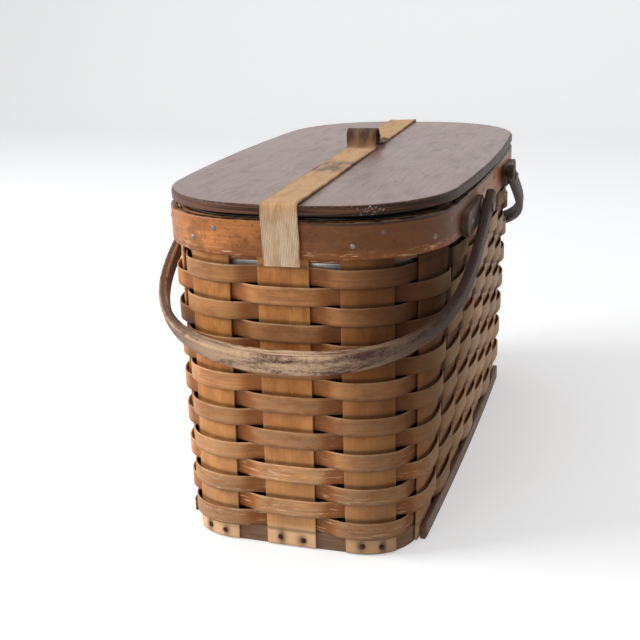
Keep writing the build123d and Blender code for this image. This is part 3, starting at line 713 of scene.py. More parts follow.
def soften(piece, width):
    """Rounds a piece's edges."""
    sharp_angle = math.radians(35)
    bevel = piece.modifiers.new("Rounded edges", "BEVEL")
    bevel.width = width
    bevel.segments = 2
    bevel.limit_method = "ANGLE"
    bevel.angle_limit = sharp_angle
    bevel.harden_normals = True
    even_shading(piece).keep_sharp = True


def thicken(piece, thickness, rounding):
    """Gives a sheet its wall, half to each side, with rounded edges."""
    wall = piece.modifiers.new("Thickness", "SOLIDIFY")
    wall.thickness = thickness
    wall.offset = 0.0
    soften(piece, rounding)


def copy_of_node(node, name, width, material):
    """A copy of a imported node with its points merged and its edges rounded."""
    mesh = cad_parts[node].data.copy()
    shape = bmesh.new()
    shape.from_mesh(mesh)
    bmesh.ops.remove_doubles(shape, verts=shape.verts, dist=1e-6)
    bmesh.ops.dissolve_limit(shape, angle_limit=math.radians(1), verts=shape.verts, edges=shape.edges)
    shape.to_mesh(mesh)
    shape.free()
    mesh.materials.clear()
    mesh.materials.append(finish(material))
    smooth(mesh)
    piece = new_piece(name, mesh)
    soften(piece, width)
    return piece


# Trees of geometry nodes
def geometry_tree(name, inputs):
    """An empty geometry tree with its inputs: name, kind of socket and default."""
    tree = bpy.data.node_groups.new(name, "GeometryNodeTree")
    tree.is_modifier = True
    tree.interface.new_socket("Geometry", in_out="INPUT", socket_type="NodeSocketGeometry")
    for label, kind, default in inputs:
        socket = tree.interface.new_socket(label, in_out="INPUT", socket_type=kind)
        if default is not None:
            socket.default_value = default
    tree.interface.new_socket("Geometry", in_out="OUTPUT", socket_type="NodeSocketGeometry")
    return tree, tree.nodes.new("NodeGroupInput").outputs, tree.nodes.new("NodeGroupOutput").inputs


def run_tree(piece, tree, **values):
    """Adds a tree to a piece, and sets its inputs by their identifiers."""
    modifier = piece.modifiers.new(tree.name, "NODES")
    modifier.node_group = tree
    identifiers = {item.name: item.identifier for item in tree.interface.items_tree if item.in_out == "INPUT"}
    for key, value in values.items():
        modifier[identifiers[key.replace("_", " ")]] = value
    return modifier


def named(tree, name, kind="FLOAT"):
    """A value that the points carry."""
    return put(tree, "GeometryNodeInputNamedAttribute", {"Name": name}, data_type=kind).outputs[0]


def finish_mesh(tree, mesh, given, result):
    """Ends a tree: instances made real, with the finish that the tree is given."""
    mesh = put(tree, "GeometryNodeRealizeInstances", {0: mesh}).outputs[0]
    mesh = put(tree, "GeometryNodeSetMaterial", {"Geometry": mesh, "Material": given["Finish"]}).outputs[0]
    tree.links.new(mesh, result["Geometry"])


def swing_out(tree, given):
    """How far over or under the stakes a path lies, from -1 to 1."""
    turn = maths(tree, "COSINE", maths(tree, "MULTIPLY", named(tree, "stake"), math.pi))
    turn = maths(tree, "MULTIPLY", turn, given["Over"])
    wave = maths(tree, "TANH", maths(tree, "MULTIPLY", turn, given["Flatness"]))
    return maths(tree, "DIVIDE", wave, maths(tree, "TANH", given["Flatness"]))


def keep_values(tree, geometry, **values):
    """Keeps values on a geometry's points, and gives the geometry's output and theirs."""
    node = put(tree, "GeometryNodeCaptureAttribute", {0: geometry}, domain="POINT")
    for label in values:
        node.capture_items.new("FLOAT", label)
    for place, value in enumerate(values.values(), start=1):
        tree.links.new(value, node.inputs[place])
    return list(node.outputs)[:len(values) + 1]


def strip_tree():
    """A tree that sweeps a rounded strip along a path, and swings it over and under the stakes."""
    floats = [("Width", 0.0156), ("Thickness", 0.0014), ("Rounding", 0.0005), ("Swing", 0.0), ("Bias", 0.0),
              ("Flatness", 1.8), ("Over", 1.0), ("Tone", 0.5)]
    inputs = [(label, "NodeSocketFloat", value) for label, value in floats]
    inputs.append(("Finish", "NodeSocketMaterial", None))
    tree, given, result = geometry_tree("Strip along a path", inputs)
    path = put(tree, "GeometryNodeMeshToCurve", {0: given["Geometry"]}).outputs[0]
    wave = swing_out(tree, given)
    out = maths(tree, "ADD", maths(tree, "MULTIPLY", wave, given["Swing"]), given["Bias"])
    push = put(tree, "ShaderNodeVectorMath", {0: named(tree, "outward", "FLOAT_VECTOR"), "Scale": out},
               operation="SCALE").outputs[0]
    path = put(tree, "GeometryNodeSetPosition", {"Geometry": path, "Offset": push}).outputs[0]
    path = put(tree, "GeometryNodeSetCurveNormal", {"Curve": path}, mode="Z_UP").outputs[0]
    length = put(tree, "GeometryNodeSplineParameter").outputs["Length"]
    path, along, wave = keep_values(tree, path, Along=length, Wave=wave)
    outline = put(tree, "GeometryNodeCurvePrimitiveQuadrilateral",
                  {"Width": given["Thickness"], "Height": given["Width"]}).outputs[0]
    rounding = {"Curve": outline, "Count": 3, "Radius": given["Rounding"]}
    outline = put(tree, "GeometryNodeFilletCurve", rounding, mode="POLY").outputs[0]
    side = put(tree, "ShaderNodeSeparateXYZ", {0: put(tree, "GeometryNodeInputPosition").outputs[0]})
    outline, across = keep_values(tree, outline, Across=side.outputs[1])
    mesh = put(tree, "GeometryNodeCurveToMesh",
               {"Curve": path, "Profile Curve": outline, "Fill Caps": True}).outputs[0]
    place = put(tree, "ShaderNodeCombineXYZ", {0: along, 1: across}).outputs[0]
    half = maths(tree, "MULTIPLY", given["Width"], 0.5)
    to_edge = maths(tree, "DIVIDE", maths(tree, "ABSOLUTE", across), half)
    mesh = put(tree, "GeometryNodeStoreNamedAttribute", {"Geometry": mesh, "Name": "strip", "Value": place},
               data_type="FLOAT2", domain="CORNER").outputs[0]
    numbers = {"edge": between(tree, to_edge, 0.80, 0.98), "crest": between(tree, wave, -0.2, 1.0),
               "tone": given["Tone"]}
    for label, value in numbers.items():
        mesh = put(tree, "GeometryNodeStoreNamedAttribute", {"Geometry": mesh, "Name": label, "Value": value},
                   data_type="FLOAT", domain="POINT").outputs[0]
    mesh = put(tree, "GeometryNodeMergeByDistance", {"Geometry": mesh, "Distance": 1e-5}).outputs[0]
    finish_mesh(tree, mesh, given, result)
    return tree


def head_tree():
    """A tree that sets a domed head on each point, facing out, each sized a little differently."""
    inputs = [("Radius", "NodeSocketFloat", 0.0024), ("Height", "NodeSocketFloat", 0.0011),
              ("Seed", "NodeSocketInt", 4), ("Finish", "NodeSocketMaterial", None)]
    tree, given, result = geometry_tree("Heads on points", inputs)
    ball = put(tree, "GeometryNodeMeshUVSphere", {"Segments": 12, "Rings": 8, "Radius": 1.0}).outputs[0]
    ball = put(tree, "GeometryNodeSetShadeSmooth", {"Geometry": ball}).outputs[0]
    size = put(tree, "ShaderNodeCombineXYZ", {0: given["Radius"], 1: given["Radius"], 2: given["Height"]})
    head = put(tree, "GeometryNodeTransform", {"Geometry": ball, "Scale": size.outputs[0]}).outputs[0]
    points = put(tree, "GeometryNodeMeshToPoints", {0: given["Geometry"]}).outputs[0]
    outward = named(tree, "outward", "FLOAT_VECTOR")
    facing = put(tree, "FunctionNodeAlignRotationToVector", {"Vector": outward}, axis="Z").outputs[0]
    vary = put(tree, "FunctionNodeRandomValue", {2: 0.86, 3: 1.08, "Seed": given["Seed"]}, data_type="FLOAT")
    values = {"Points": points, "Instance": head, "Rotation": facing, "Scale": vary.outputs[1]}
    finish_mesh(tree, put(tree, "GeometryNodeInstanceOnPoints", values).outputs[0], given, result)
    return tree


def the_tree(name, maker):
    """A geometry tree, made when it is first asked for."""
    return bpy.data.node_groups.get(name) or maker()


def path_mesh(name, plan, out, z, ends, steps):
    """A line of points along a plan, from one stake to another, which carry their stake and outward way."""
    length = girth(plan)
    first, last = ends
    places = [first + (last - first) * step / steps for step in range(steps + 1)]
    found = [spot(plan, stake_share(place) * length, out, z) for place in places]
    mesh = bpy.data.meshes.new(name)
    mesh.from_pydata([point for point, _ in found], [(k, k + 1) for k in range(steps)], [])
    give_numbers(mesh, "stake", places)
    give_ways(mesh, [facing for _, facing in found])
    return mesh


def strip_piece(name, path, **sizes):
    """One strip along a path."""
    piece = new_piece(name, path)
    run_tree(piece, the_tree("Strip along a path", strip_tree), **sizes)
    even_shading(piece)
    return piece


def tone_of(index, seed):
    """A tone between 0 and 1 that differs from piece to piece."""
    return 0.5 + 0.5 * math.sin(index * 2.399 + seed) * math.cos(index * 1.13 + 2.1 * seed)


class BASKET_OT_weave(bpy.types.Operator):
    """Makes the woven rows"""
    bl_idname = "basket.weave"
    bl_label = "Woven rows"

    def execute(self, context):
        sizes = context.scene.basket_sizes
        ends = (stake_count // 2, stake_count // 2 + stake_count)
        for row, name in enumerate(sorted(row_boxes), start=1):
            low, high = row_boxes[name]
            middle = (low.z + high.z) / 2
            path = path_mesh(name, plan_at(middle), 0.0, middle, ends, 480)
            piece = strip_piece(
                "Row" + name[-3:], path, Width=high.z - low.z, Thickness=sizes.splint, Rounding=0.0005,
                Swing=sizes.swing, Bias=sizes.bias, Flatness=sizes.flatness,
                Over=1.0 if row % 2 == 0 else -1.0, Tone=tone_of(row, 0.7), Finish=finish("Weave splint"))
            settle(piece, "basket", "weave_splint", name)
        return {"FINISHED"}


class BASKET_OT_stakes(bpy.types.Operator):
    """Makes the upright stakes, with rust stains round the nails at their feet"""
    bl_idname = "basket.stakes"
    bl_label = "Stakes"

    def execute(self, context):
        sizes = context.scene.basket_sizes
        stained_top, plain_foot = 0.024, 0.030
        columns = np.linspace(-0.5, 0.5, 21)
        for index, name in enumerate(stake_names):
            low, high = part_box(name)
            heights = [*np.linspace(low.z, stained_top, 18), *np.linspace(plain_foot, high.z, 40)]
            points, places = [], []
            for z in heights:
                plan = plan_at(z)
                middle = stake_share(index) * girth(plan)
                for across in columns * sizes.stake_width:
                    points.append(spot(plan, middle + across, 0.0, z)[0])
                    places.append((z, across))
            edges = [(abs(across) / sizes.stake_width * 2 - 0.9) * 8 for _, across in places]
            mesh = surface(
                name, points, grid_faces(len(heights), len(columns)), "Stake splint", places,
                edge=np.clip(edges, 0, 1), tone=[tone_of(index, 2.2)] * len(points),
                parity=[float(index % 2)] * len(points),
                stain=[foot_stain(index, across, z) for z, across in places])
            piece = new_piece("Stake" + name[-3:], mesh)
            thicken(piece, sizes.stake, 0.0004)
            settle(piece, "basket", "stake_splint", name)
        return {"FINISHED"}


def foot_stain(index, across, z):
    """How dark the nails' rust stains are at a place on a stake's foot, a little different at each nail."""
    total, darkest = 0.0, 0.95
    least_width, more_width = 0.0022, 0.0012
    least_height, more_height = 0.0042, 0.0025
    for nail, (shift, height) in enumerate(foot_nails):
        wide = least_width + more_width * (0.5 + 0.5 * math.sin(index * 3.1 + nail * 1.7))
        tall = least_height + more_height * (0.5 + 0.5 * math.cos(index * 2.3 + nail * 2.9))
        reach = ((across - shift) / wide) ** 2 + ((z - height) / tall) ** 2
        total += darkest * math.exp(-reach * 0.7)
    return min(total, darkest)


def heads(name, places, radius, height, material, body, slot, node):
    """Domed heads at places, each a point and the way it faces."""
    mesh = bpy.data.meshes.new(name)
    mesh.from_pydata([point for point, _ in places], [], [])
    give_ways(mesh, [facing for _, facing in places])
    piece = new_piece(name, mesh)
    run_tree(piece, the_tree("Heads on points", head_tree), Radius=radius, Height=height,
             Finish=finish(material))
    return settle(piece, body, slot, node)


def node_islands(node):
    """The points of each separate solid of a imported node."""
    shape = bmesh.new()
    shape.from_mesh(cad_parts[node].data)
    bmesh.ops.remove_doubles(shape, verts=shape.verts, dist=1e-6)
    left, islands = dict.fromkeys(shape.verts), []
    while left:
        front = [left.popitem()[0]]
        island = []
        while front:
            vertex = front.pop()
            island.append(vertex.co.copy())
            for edge in vertex.link_edges:
                other = edge.other_vert(vertex)
                if other in left:
                    left.pop(other)
                    front.append(other)
        islands.append(island)
    shape.free()
    return islands


def outer_places(node):
    """Where the heads of a group of nails sit: the outermost face of each, and the way it faces."""
    face_depth = 0.0008
    places = []
    for island in node_islands(node):
        tip = max(island, key=lambda point: math.hypot(point.x, point.y))
        root = min(island, key=lambda point: math.hypot(point.x, point.y))
        face = [point for point in island if (point - tip).length < face_depth]
        facing = Vector((tip.x - root.x, tip.y - root.y, 0)).normalized()
        places.append((sum(face, Vector()) / len(face), facing))
    return places


class BASKET_OT_nails(bpy.types.Operator):
    """Makes the nail and screw heads"""
    bl_idname = "basket.nails"
    bl_label = "Nails and screws"

    def execute(self, context):
        sizes = context.scene.basket_sizes
        for label, node, material in (
            ("Rim_nails", "rim_nails", "Dark iron"), ("Base_nails", "base_nails", "Rusty iron"),
            ("Runner_nails", "runner_nails", "Dark iron"), ("Block_nails", "block_nails", "Dark iron"),
        ):
            places = [(point - facing * sizes.nail_dome, facing) for point, facing in outer_places(node)]
            heads(label, places, sizes.nail_head, sizes.nail_dome, material, "basket", "nail_steel", node)
        screws, head_radius, head_height = [], 0.0028, 0.0013
        for island in node_islands("lid_screws"):
            low = min(point.z for point in island)
            centre = sum(island, Vector()) / len(island)
            screws.append((Vector((centre.x, centre.y, low + head_height)), Vector((0, 0, -1))))
        heads("Lid_screws", screws, head_radius, head_height, "Dark iron", "lid", "screw_steel", "lid_screws")
        return {"FINISHED"}


class BASKET_OT_bands(bpy.types.Operator):
    """Makes the rim bands, the strips at the foot and the lid's seal"""
    bl_idname = "basket.bands"
    bl_label = "Bands"

    def execute(self, context):
        sizes = context.scene.basket_sizes
        around = (stake_count // 2, stake_count // 2 + stake_count)
        wall = sizes.stake / 2 + sizes.clearance
        for label, foot, out, thickness, rounding in (
            ("Rim_outer", rim_foot, wall + sizes.rim / 2, sizes.rim, 0.0016),
            ("Rim_inner", inner_rim_foot, -wall - sizes.inner_rim / 2, sizes.inner_rim, 0.0008),
        ):
            path = path_mesh(label.lower(), rim_line, out, (foot + rim_top) / 2, around, 400)
            piece = strip_piece(label, path, Width=rim_top - foot, Thickness=thickness, Rounding=rounding,
                                Flatness=1.0, Tone=0.45, Finish=finish("Rim wood"))
            settle(piece, "basket", "rim_wood", label.lower())
        seal_out = -sizes.gasket_inset - sizes.gasket / 2
        path = path_mesh("lid_gasket", rim_line, seal_out, (rim_top + lid_foot) / 2, around, 400)
        seal = strip_piece("Lid_gasket", path, Width=lid_foot - rim_top, Thickness=sizes.gasket,
                           Rounding=0.0012, Flatness=1.0, Finish=finish("Felt"))
        settle(seal, "lid", "felt", "lid_gasket")
        plan = plan_at(runner_top)
        past = sizes.runner_overrun / girth(plan) * stake_count
        for label, turn in (("Runner_right", 1), ("Runner_left", -1)):
            ends = sorted((turn * (runner_stakes[0] - past), turn * (runner_stakes[1] + past)))
            path = path_mesh(label.lower(), plan, wall + sizes.runner / 2, runner_top / 2, ends, 120)
            piece = strip_piece(label, path, Width=runner_top, Thickness=sizes.runner, Rounding=0.0012,
                                Flatness=1.0, Tone=0.3, Finish=finish("Runner wood"))
            settle(piece, "basket", "runner_wood", label.lower())
        return {"FINISHED"}


class BASKET_OT_lid(bpy.types.Operator):
    """Makes the lid board with its rounded, slightly uneven edge"""
    bl_idname = "basket.lid"
    bl_label = "Lid board"

    def execute(self, context):
        upper_round = context.scene.basket_sizes.lid_round
        section = self.section(upper_round)
        stations, length = 480, girth(lid_line)
        dent_depth, dent_start = 0.0005, 0.0002
        points, edges, arrises = [], [], []
        for out, z in section:
            inwards = -out / upper_round
            for step in range(stations):
                point, facing = spot(lid_line, length * step / stations, out, z)
                rough = noise.noise(Vector((point.x * 60, point.y * 60, z * 200)))
                dent = dent_depth * rough - dent_start
                points.append(point + facing * min(0.0, dent) * float(inwards < 0.9))
                edges.append(float(inwards < 0.7 and z < lid_top - 0.0003))
                arrises.append(float(0.1 < inwards < 0.95 and z > lid_top - 0.002))
        faces = grid_faces(len(section), stations, closed=True)
        faces.append(tuple(reversed(range(stations))))
        faces.append(tuple(range((len(section) - 1) * stations, len(section) * stations)))
        mesh = surface("lid_board", points, faces, "Lid wood", edge=edges, arris=arrises)
        piece = new_piece("Lid_board", mesh)
        even_shading(piece)
        settle(piece, "lid", "lid_wood", "lid_board")
        return {"FINISHED"}

    def section(self, upper_round):
        """The edge's shape from the underside to the top, as (way out, height)."""
        foot_round, flat = 0.0011, 0.004
        lower = [(-foot_round * (1 - math.sin(t)), lid_foot + foot_round * (1 - math.cos(t)))
                 for t in np.linspace(0, math.pi / 2, 5)]
        upper = [(-upper_round * (1 - math.cos(t)), lid_top - upper_round * (1 - math.sin(t)))
                 for t in np.linspace(0, math.pi / 2, 7)]
        return [(-foot_round - flat, lid_foot), *lower, *upper, (-upper_round - flat, lid_top)]


def handle_line(sizes):
    """Points along a handle in its own plane, from one leg's end to the other's, and each one's thickness."""
    depth = sizes.handle_reach - sizes.leg_straight
    line = [(sizes.leg_middle, -sizes.leg_end, sizes.leg_thickness)]
    steps = 400
    for step in range(steps + 1):
        turn = math.pi * (1 - math.cos(math.pi * step / steps)) / 2
        across = abs(math.cos(turn)) ** (2 / sizes.bend_side_power)
        down = max(math.sin(turn), 0.0) ** (2 / sizes.bend_end_power)
        thickness = sizes.leg_thickness + (sizes.grip_thickness - sizes.leg_thickness) * math.sin(turn) ** 4
        x = math.copysign(sizes.leg_middle * across, math.cos(turn))
        line.append((x, sizes.leg_straight + depth * down, thickness))
    line.append((-sizes.leg_middle, -sizes.leg_end, sizes.leg_thickness))
    line = np.array(line)
    return line, lengths_along(line[:, :2])


def lengths_along(path):
    """How far along a path each of its points lies."""
    return np.concatenate([[0], np.cumsum(np.hypot(*np.diff(path, axis=0).T))])


def handle_outline():
    """A section's rounded corners: the quarter's two signs, and how far round its corner each point lies."""
    corner = [(math.cos(t), math.sin(t)) for t in np.linspace(0, math.pi / 2, 5)]
    outline = []
    for quarter, (across, along) in enumerate(((1, 1), (-1, 1), (-1, -1), (1, -1))):
        outline += [(across, along, c, s) for c, s in (corner if quarter % 2 == 0 else corner[::-1])]
    return outline


def turned_out(mesh):
    """The mesh with its faces pointing outwards."""
    shape = bmesh.new()
    shape.from_mesh(mesh)
    bmesh.ops.recalc_face_normals(shape, faces=shape.faces)
    shape.to_mesh(mesh)
    shape.free()
    return mesh


def handle_mesh(name, side, sizes):
    """A bent strip with rounded edges and round leg ends, seen as stations along its line."""
    line, gone = handle_line(sizes)
    total, tip_reach, hair = gone[-1], sizes.leg_width / 2, 0.0005
    grip_share, inner_pattern = 0.14, 0.03
    tip = [tip_reach * (1 - math.cos(t)) for t in np.linspace(0.15, math.pi / 2, 9)]
    middle_part = np.linspace(tip_reach, total - tip_reach, 190)[1:-1]
    stations = [*tip, *middle_part, *(total - s for s in reversed(tip))]
    outline = handle_outline()
    across = Vector((1, 0, 0))
    lean = Vector((0, side * math.cos(sizes.hang), -math.sin(sizes.hang)))
    normal = Vector((0, math.sin(sizes.hang), side * math.cos(sizes.hang)))
    pivot = Vector((0, side * sizes.pivot_y, sizes.pivot_z))
    points, places, edges, grips = [], [], [], []
    for s in stations:
        x, u, thickness = (np.interp(s, gone, line[:, k]) for k in range(3))
        before, after = ([np.interp(here, gone, line[:, k]) for k in (0, 1)] for here in (s - hair, s + hair))
        ahead = np.subtract(after, before)
        outward = (across * ahead[1] - lean * ahead[0]) / np.hypot(*ahead)
        if outward.dot(across * x + lean * (u - sizes.handle_reach / 2)) < 0:
            outward = -outward
        to_end = min(s, total - s)
        narrow = 1.0 if to_end >= tip_reach else math.sqrt(1 - (1 - to_end / tip_reach) ** 2)
        swell = max(0.0, 1 - (x / sizes.grip_half_length) ** 2)
        half_width = narrow * (sizes.leg_width + (sizes.grip_width - sizes.leg_width) * swell) / 2
        middle = pivot + across * x + lean * u
        grip = math.exp(-((s / total - 0.5) / grip_share) ** 2)
        for out_sign, side_sign, c, d in outline:
            out = out_sign * (thickness / 2 - sizes.handle_round * (1 - c))
            sideways = side_sign * max(half_width - sizes.handle_round * (1 - d), 0.0)
            points.append(middle + outward * out + normal * sideways)
            places.append((s, sideways + (inner_pattern if out < 0 else 0.0)))
            edges.append(min(1.0, 2 * c * d))
            grips.append(grip)
    count = len(outline)
    faces = grid_faces(len(stations), count, closed=True)
    faces.append(tuple(range(count)))
    faces.append(tuple(reversed(range((len(stations) - 1) * count, len(stations) * count))))
    tones = [0.4 + 0.2 * side] * len(points)
    mesh = surface(name, points, faces, "Handle wood", places, edge=edges, crest=grips, tone=tones)
    return turned_out(mesh)


class BASKET_OT_handles(bpy.types.Operator):
    """Makes the two bent handles"""
    bl_idname = "basket.handles"
    bl_label = "Handles"

    def execute(self, context):
        for label, side in (("Handle_near", -1), ("Handle_far", 1)):
            node = label.lower()
            piece = new_piece(label, handle_mesh(node, side, context.scene.basket_sizes))
            even_shading(piece)
            settle(piece, node, "handle_wood", node)
        return {"FINISHED"}


class BASKET_OT_pivots(bpy.types.Operator):
    """Makes the blocks, washers and pins that the handles turn on"""
    bl_idname = "basket.pivots"
    bl_label = "Pivots"

    def execute(self, context):
        for label, node, width, material, slot in (
            ("Pivot_blocks", "pivot_blocks", 0.0014, "Block wood", "block_wood"),
            ("Pivot_washers", "pivot_washers", 0.0003, "Dark iron", "washer_steel"),
            ("Pivot_pins", "pivot_pins", 0.0002, "Dark iron", "pin_steel"),
        ):
            settle(copy_of_node(node, label, width, material), "basket", slot, node)
        return {"FINISHED"}


def rounded_path(corners, radii, steps=6):
    """A path of straight runs whose corners are rounded."""
    path = [np.array(corners[0], float)]
    for before, here, after, radius in zip(corners, corners[1:], corners[2:], radii):
        before, here, after = (np.array(p, float) for p in (before, here, after))
        back = (before - here) / np.linalg.norm(before - here)
        on = (after - here) / np.linalg.norm(after - here)
        half = math.acos(np.clip(back @ on, -1, 1)) / 2
        centre = here + (back + on) / np.linalg.norm(back + on) * radius / math.sin(half)
        start, stop = here + back * radius / math.tan(half), here + on * radius / math.tan(half)
        first, last = start - centre, stop - centre
        sweep = math.pi - 2 * half
        side = math.copysign(1, first[0] * last[1] - first[1] * last[0])
        for step in range(steps + 1):
            turn = side * sweep * step / steps
            path.append(centre + np.array((first[0] * math.cos(turn) - first[1] * math.sin(turn),
                                           first[0] * math.sin(turn) + first[1] * math.cos(turn))))
    path.append(np.array(corners[-1], float))
    return path


def arc_path(centre, radius, start, sweep, steps=10):
    """Points on an arc, in degrees."""
    angles = [math.radians(start + sweep * step / steps) for step in range(steps + 1)]
    return [np.array(centre) + radius * np.array((math.cos(a), math.sin(a))) for a in angles]


def strap_place(sizes):
    """The turn and shift from a strap that lies straight along the basket to the one that lies askew."""
    far_side = lid_line[1] + sizes.clearance + sizes.strap_thickness / 2
    turn = Matrix.Rotation(sizes.strap_skew, 4, "Z")
    return Matrix.Translation((sizes.strap_shift, -far_side, 0)) @ turn @ Matrix.Translation((0, far_side, 0))


# Radii of the strap's turns: where its end draws in, and at the foot of its fold
drop_turn, fold_foot = 0.020, 0.003


def near_path(sizes):
    """The near half from the side, as (y, z): up the end, over the lid, a fold, and round the bar."""
    half, gap = sizes.strap_thickness / 2, sizes.clearance
    flat, end = lid_top + gap + half, lid_line[1] + gap + half
    slide_z = lid_top + sizes.slide_height
    bar_turn = sizes.slide_bar + gap + half
    fold_far = sizes.slide_near - bar_turn
    fold_near, fold_top = fold_far - sizes.fold_depth, flat + sizes.fold_height
    fold_turn = sizes.fold_depth / 2 - gap
    corners = [(-end + sizes.strap_lean, rim_top - sizes.strap_drop), (-end, lid_foot), (-end, flat),
               (fold_near, flat), (fold_near, fold_top), (fold_far, fold_top), (fold_far, slide_z)]
    path = rounded_path(corners, [drop_turn, sizes.lid_round + gap + half, fold_foot, fold_turn, fold_turn])
    path += arc_path((sizes.slide_near, slide_z), bar_turn, 180, 180)[1:]
    return path + [np.array((sizes.slide_near + bar_turn, slide_z + sizes.tail_near))]


def far_path(sizes):
    """The far half from the side: up the far end, over the lid, round the bar, and its tail on top."""
    half, gap = sizes.strap_thickness / 2, sizes.clearance
    flat, end = lid_top + gap + half, lid_line[1] + gap + half
    slide_z = lid_top + sizes.slide_height
    bar_turn = sizes.slide_bar + gap + half
    slide_far = sizes.slide_near + sizes.slide_length
    corners = [(end - sizes.strap_lean, rim_top - sizes.strap_drop), (end, lid_foot), (end, flat),
               (slide_far + sizes.strap_rise, flat), (slide_far, slide_z - bar_turn)]
    path = rounded_path(corners, [drop_turn, sizes.lid_round + gap + half, sizes.strap_rise])
    path += arc_path((slide_far, slide_z), bar_turn, 270, -180)[1:]
    return path + [np.array((slide_far + sizes.tail_far, flat + sizes.strap_thickness + gap))]


def spread(share, middle, width):
    """A number that is 1 at a place and falls to 0 away from it."""
    return math.exp(-((share - middle) / width) ** 4)


def web_rise(s, column, on_lid):
    """How far a strap's web stands off its path: a faint ripple, and a loose edge that lifts."""
    ripple_height, most_lift = 0.00035, 0.0010
    ripple = ripple_height * math.sin(s * 57 + 1.7) * math.sin(s * 23 + column * 5)
    lift = most_lift * max(0.0, column) ** 2 * 4 * (0.5 + 0.5 * math.sin(s * 29 + 0.6)) * on_lid
    return abs(ripple) + lift


def web_piece(name, path, marks, sizes):
    """A web strap along a path seen from the side: worn edges, and a light warp where nothing holds it."""
    path = np.array(path)
    gone = lengths_along(path)
    keep = np.concatenate([[True], np.diff(gone) > 1e-6])
    path, gone = path[keep], gone[keep]
    apart, lid_reach, fray = 0.003, 0.004, 0.010
    stations = np.unique(np.concatenate([gone, np.arange(0, gone[-1], apart)]))
    place = strap_place(sizes)
    columns = np.linspace(-0.5, 0.5, 15)
    slope = np.gradient(path, gone, axis=0)
    facing_up = math.copysign(1, path[-1, 0] - path[0, 0])
    points, places, numbers = [], [], {"stain": [], "crest": [], "edge": [], "drop": []}
    for s in stations:
        y, z = np.interp(s, gone, path[:, 0]), np.interp(s, gone, path[:, 1])
        ahead = np.array([np.interp(s, gone, slope[:, k]) for k in (0, 1)])
        ahead /= np.linalg.norm(ahead)
        out = np.array((-ahead[1], ahead[0])) * facing_up
        on_lid = spread(z, lid_top, lid_reach) * min(1.0, gone[-1] / 4 / max(s, 0.001))
        for column in columns:
            rise = web_rise(s, column, on_lid)
            frayed = 1 + fray * noise.noise(Vector((s * 160, column * 4, 1.3))) * abs(column) * 2
            across = column * frayed * sizes.strap_width
            points.append(place @ Vector((across, y + out[0] * rise, z + out[1] * rise)))
            places.append((s, column * sizes.strap_width))
            for key, (middle, width) in marks.items():
                numbers[key].append(spread(s, middle, width))
            numbers["edge"].append(abs(column) * 2)
            numbers["drop"].append(1 - min(1.0, max(0.0, (z - rim_top) / (lid_top - rim_top))))
    numbers = {key: values or [0.0] * len(points) for key, values in numbers.items()}
    faces = grid_faces(len(stations), len(columns))
    piece = new_piece(name, surface(name, points, faces, "Cotton web", places, **numbers))
    thicken(piece, sizes.strap_thickness * 0.85, 0.0005)
    return piece, gone[-1]


class BASKET_OT_strap(bpy.types.Operator):
    """Makes the two halves of the strap and the slide that joins them"""
    bl_idname = "basket.strap"
    bl_label = "Strap"

    def execute(self, context):
        sizes = context.scene.basket_sizes
        near_marks = {"stain": (0.220, 0.026), "crest": (0.361, 0.030)}
        for name, route, marks in (("Strap_near", near_path, near_marks), ("Strap_far", far_path, {})):
            piece, length = web_piece(name, route(sizes), marks, sizes)
            settle(piece, "lid", "strap_web", name.lower())
        slide = copy_of_node("strap_slide", "Strap_slide", 0.0001, "Dark iron")
        settle(slide, "lid", "slide_metal", "strap_slide")
        return {"FINISHED"}


class BASKET_OT_inside(bpy.types.Operator):
    """Gives the board, liner, pan and packing their finishes"""
    bl_idname = "basket.inside"
    bl_label = "Board, liner and packing"

    def execute(self, context):
        for node, material in (
            ("base_board", "Board wood"), ("insulation", "Felt"), ("liner", "Liner metal"),
            ("lid_pan", "Liner metal"), ("lid_insulation", "Felt"),
        ):
            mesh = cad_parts[node].data
            mesh.materials.clear()
            mesh.materials.append(finish(material))
        return {"FINISHED"}


# The photograph's camera: where it stands, how it is turned, and its focal length in pixels of a 640 frame
camera_place = (0.2896, -1.0271, 0.4770)
camera_yaw, camera_pitch, camera_roll = -0.3190, 0.3119, -0.0329
focal_pixels, frame_pixels = 1054.6, 640


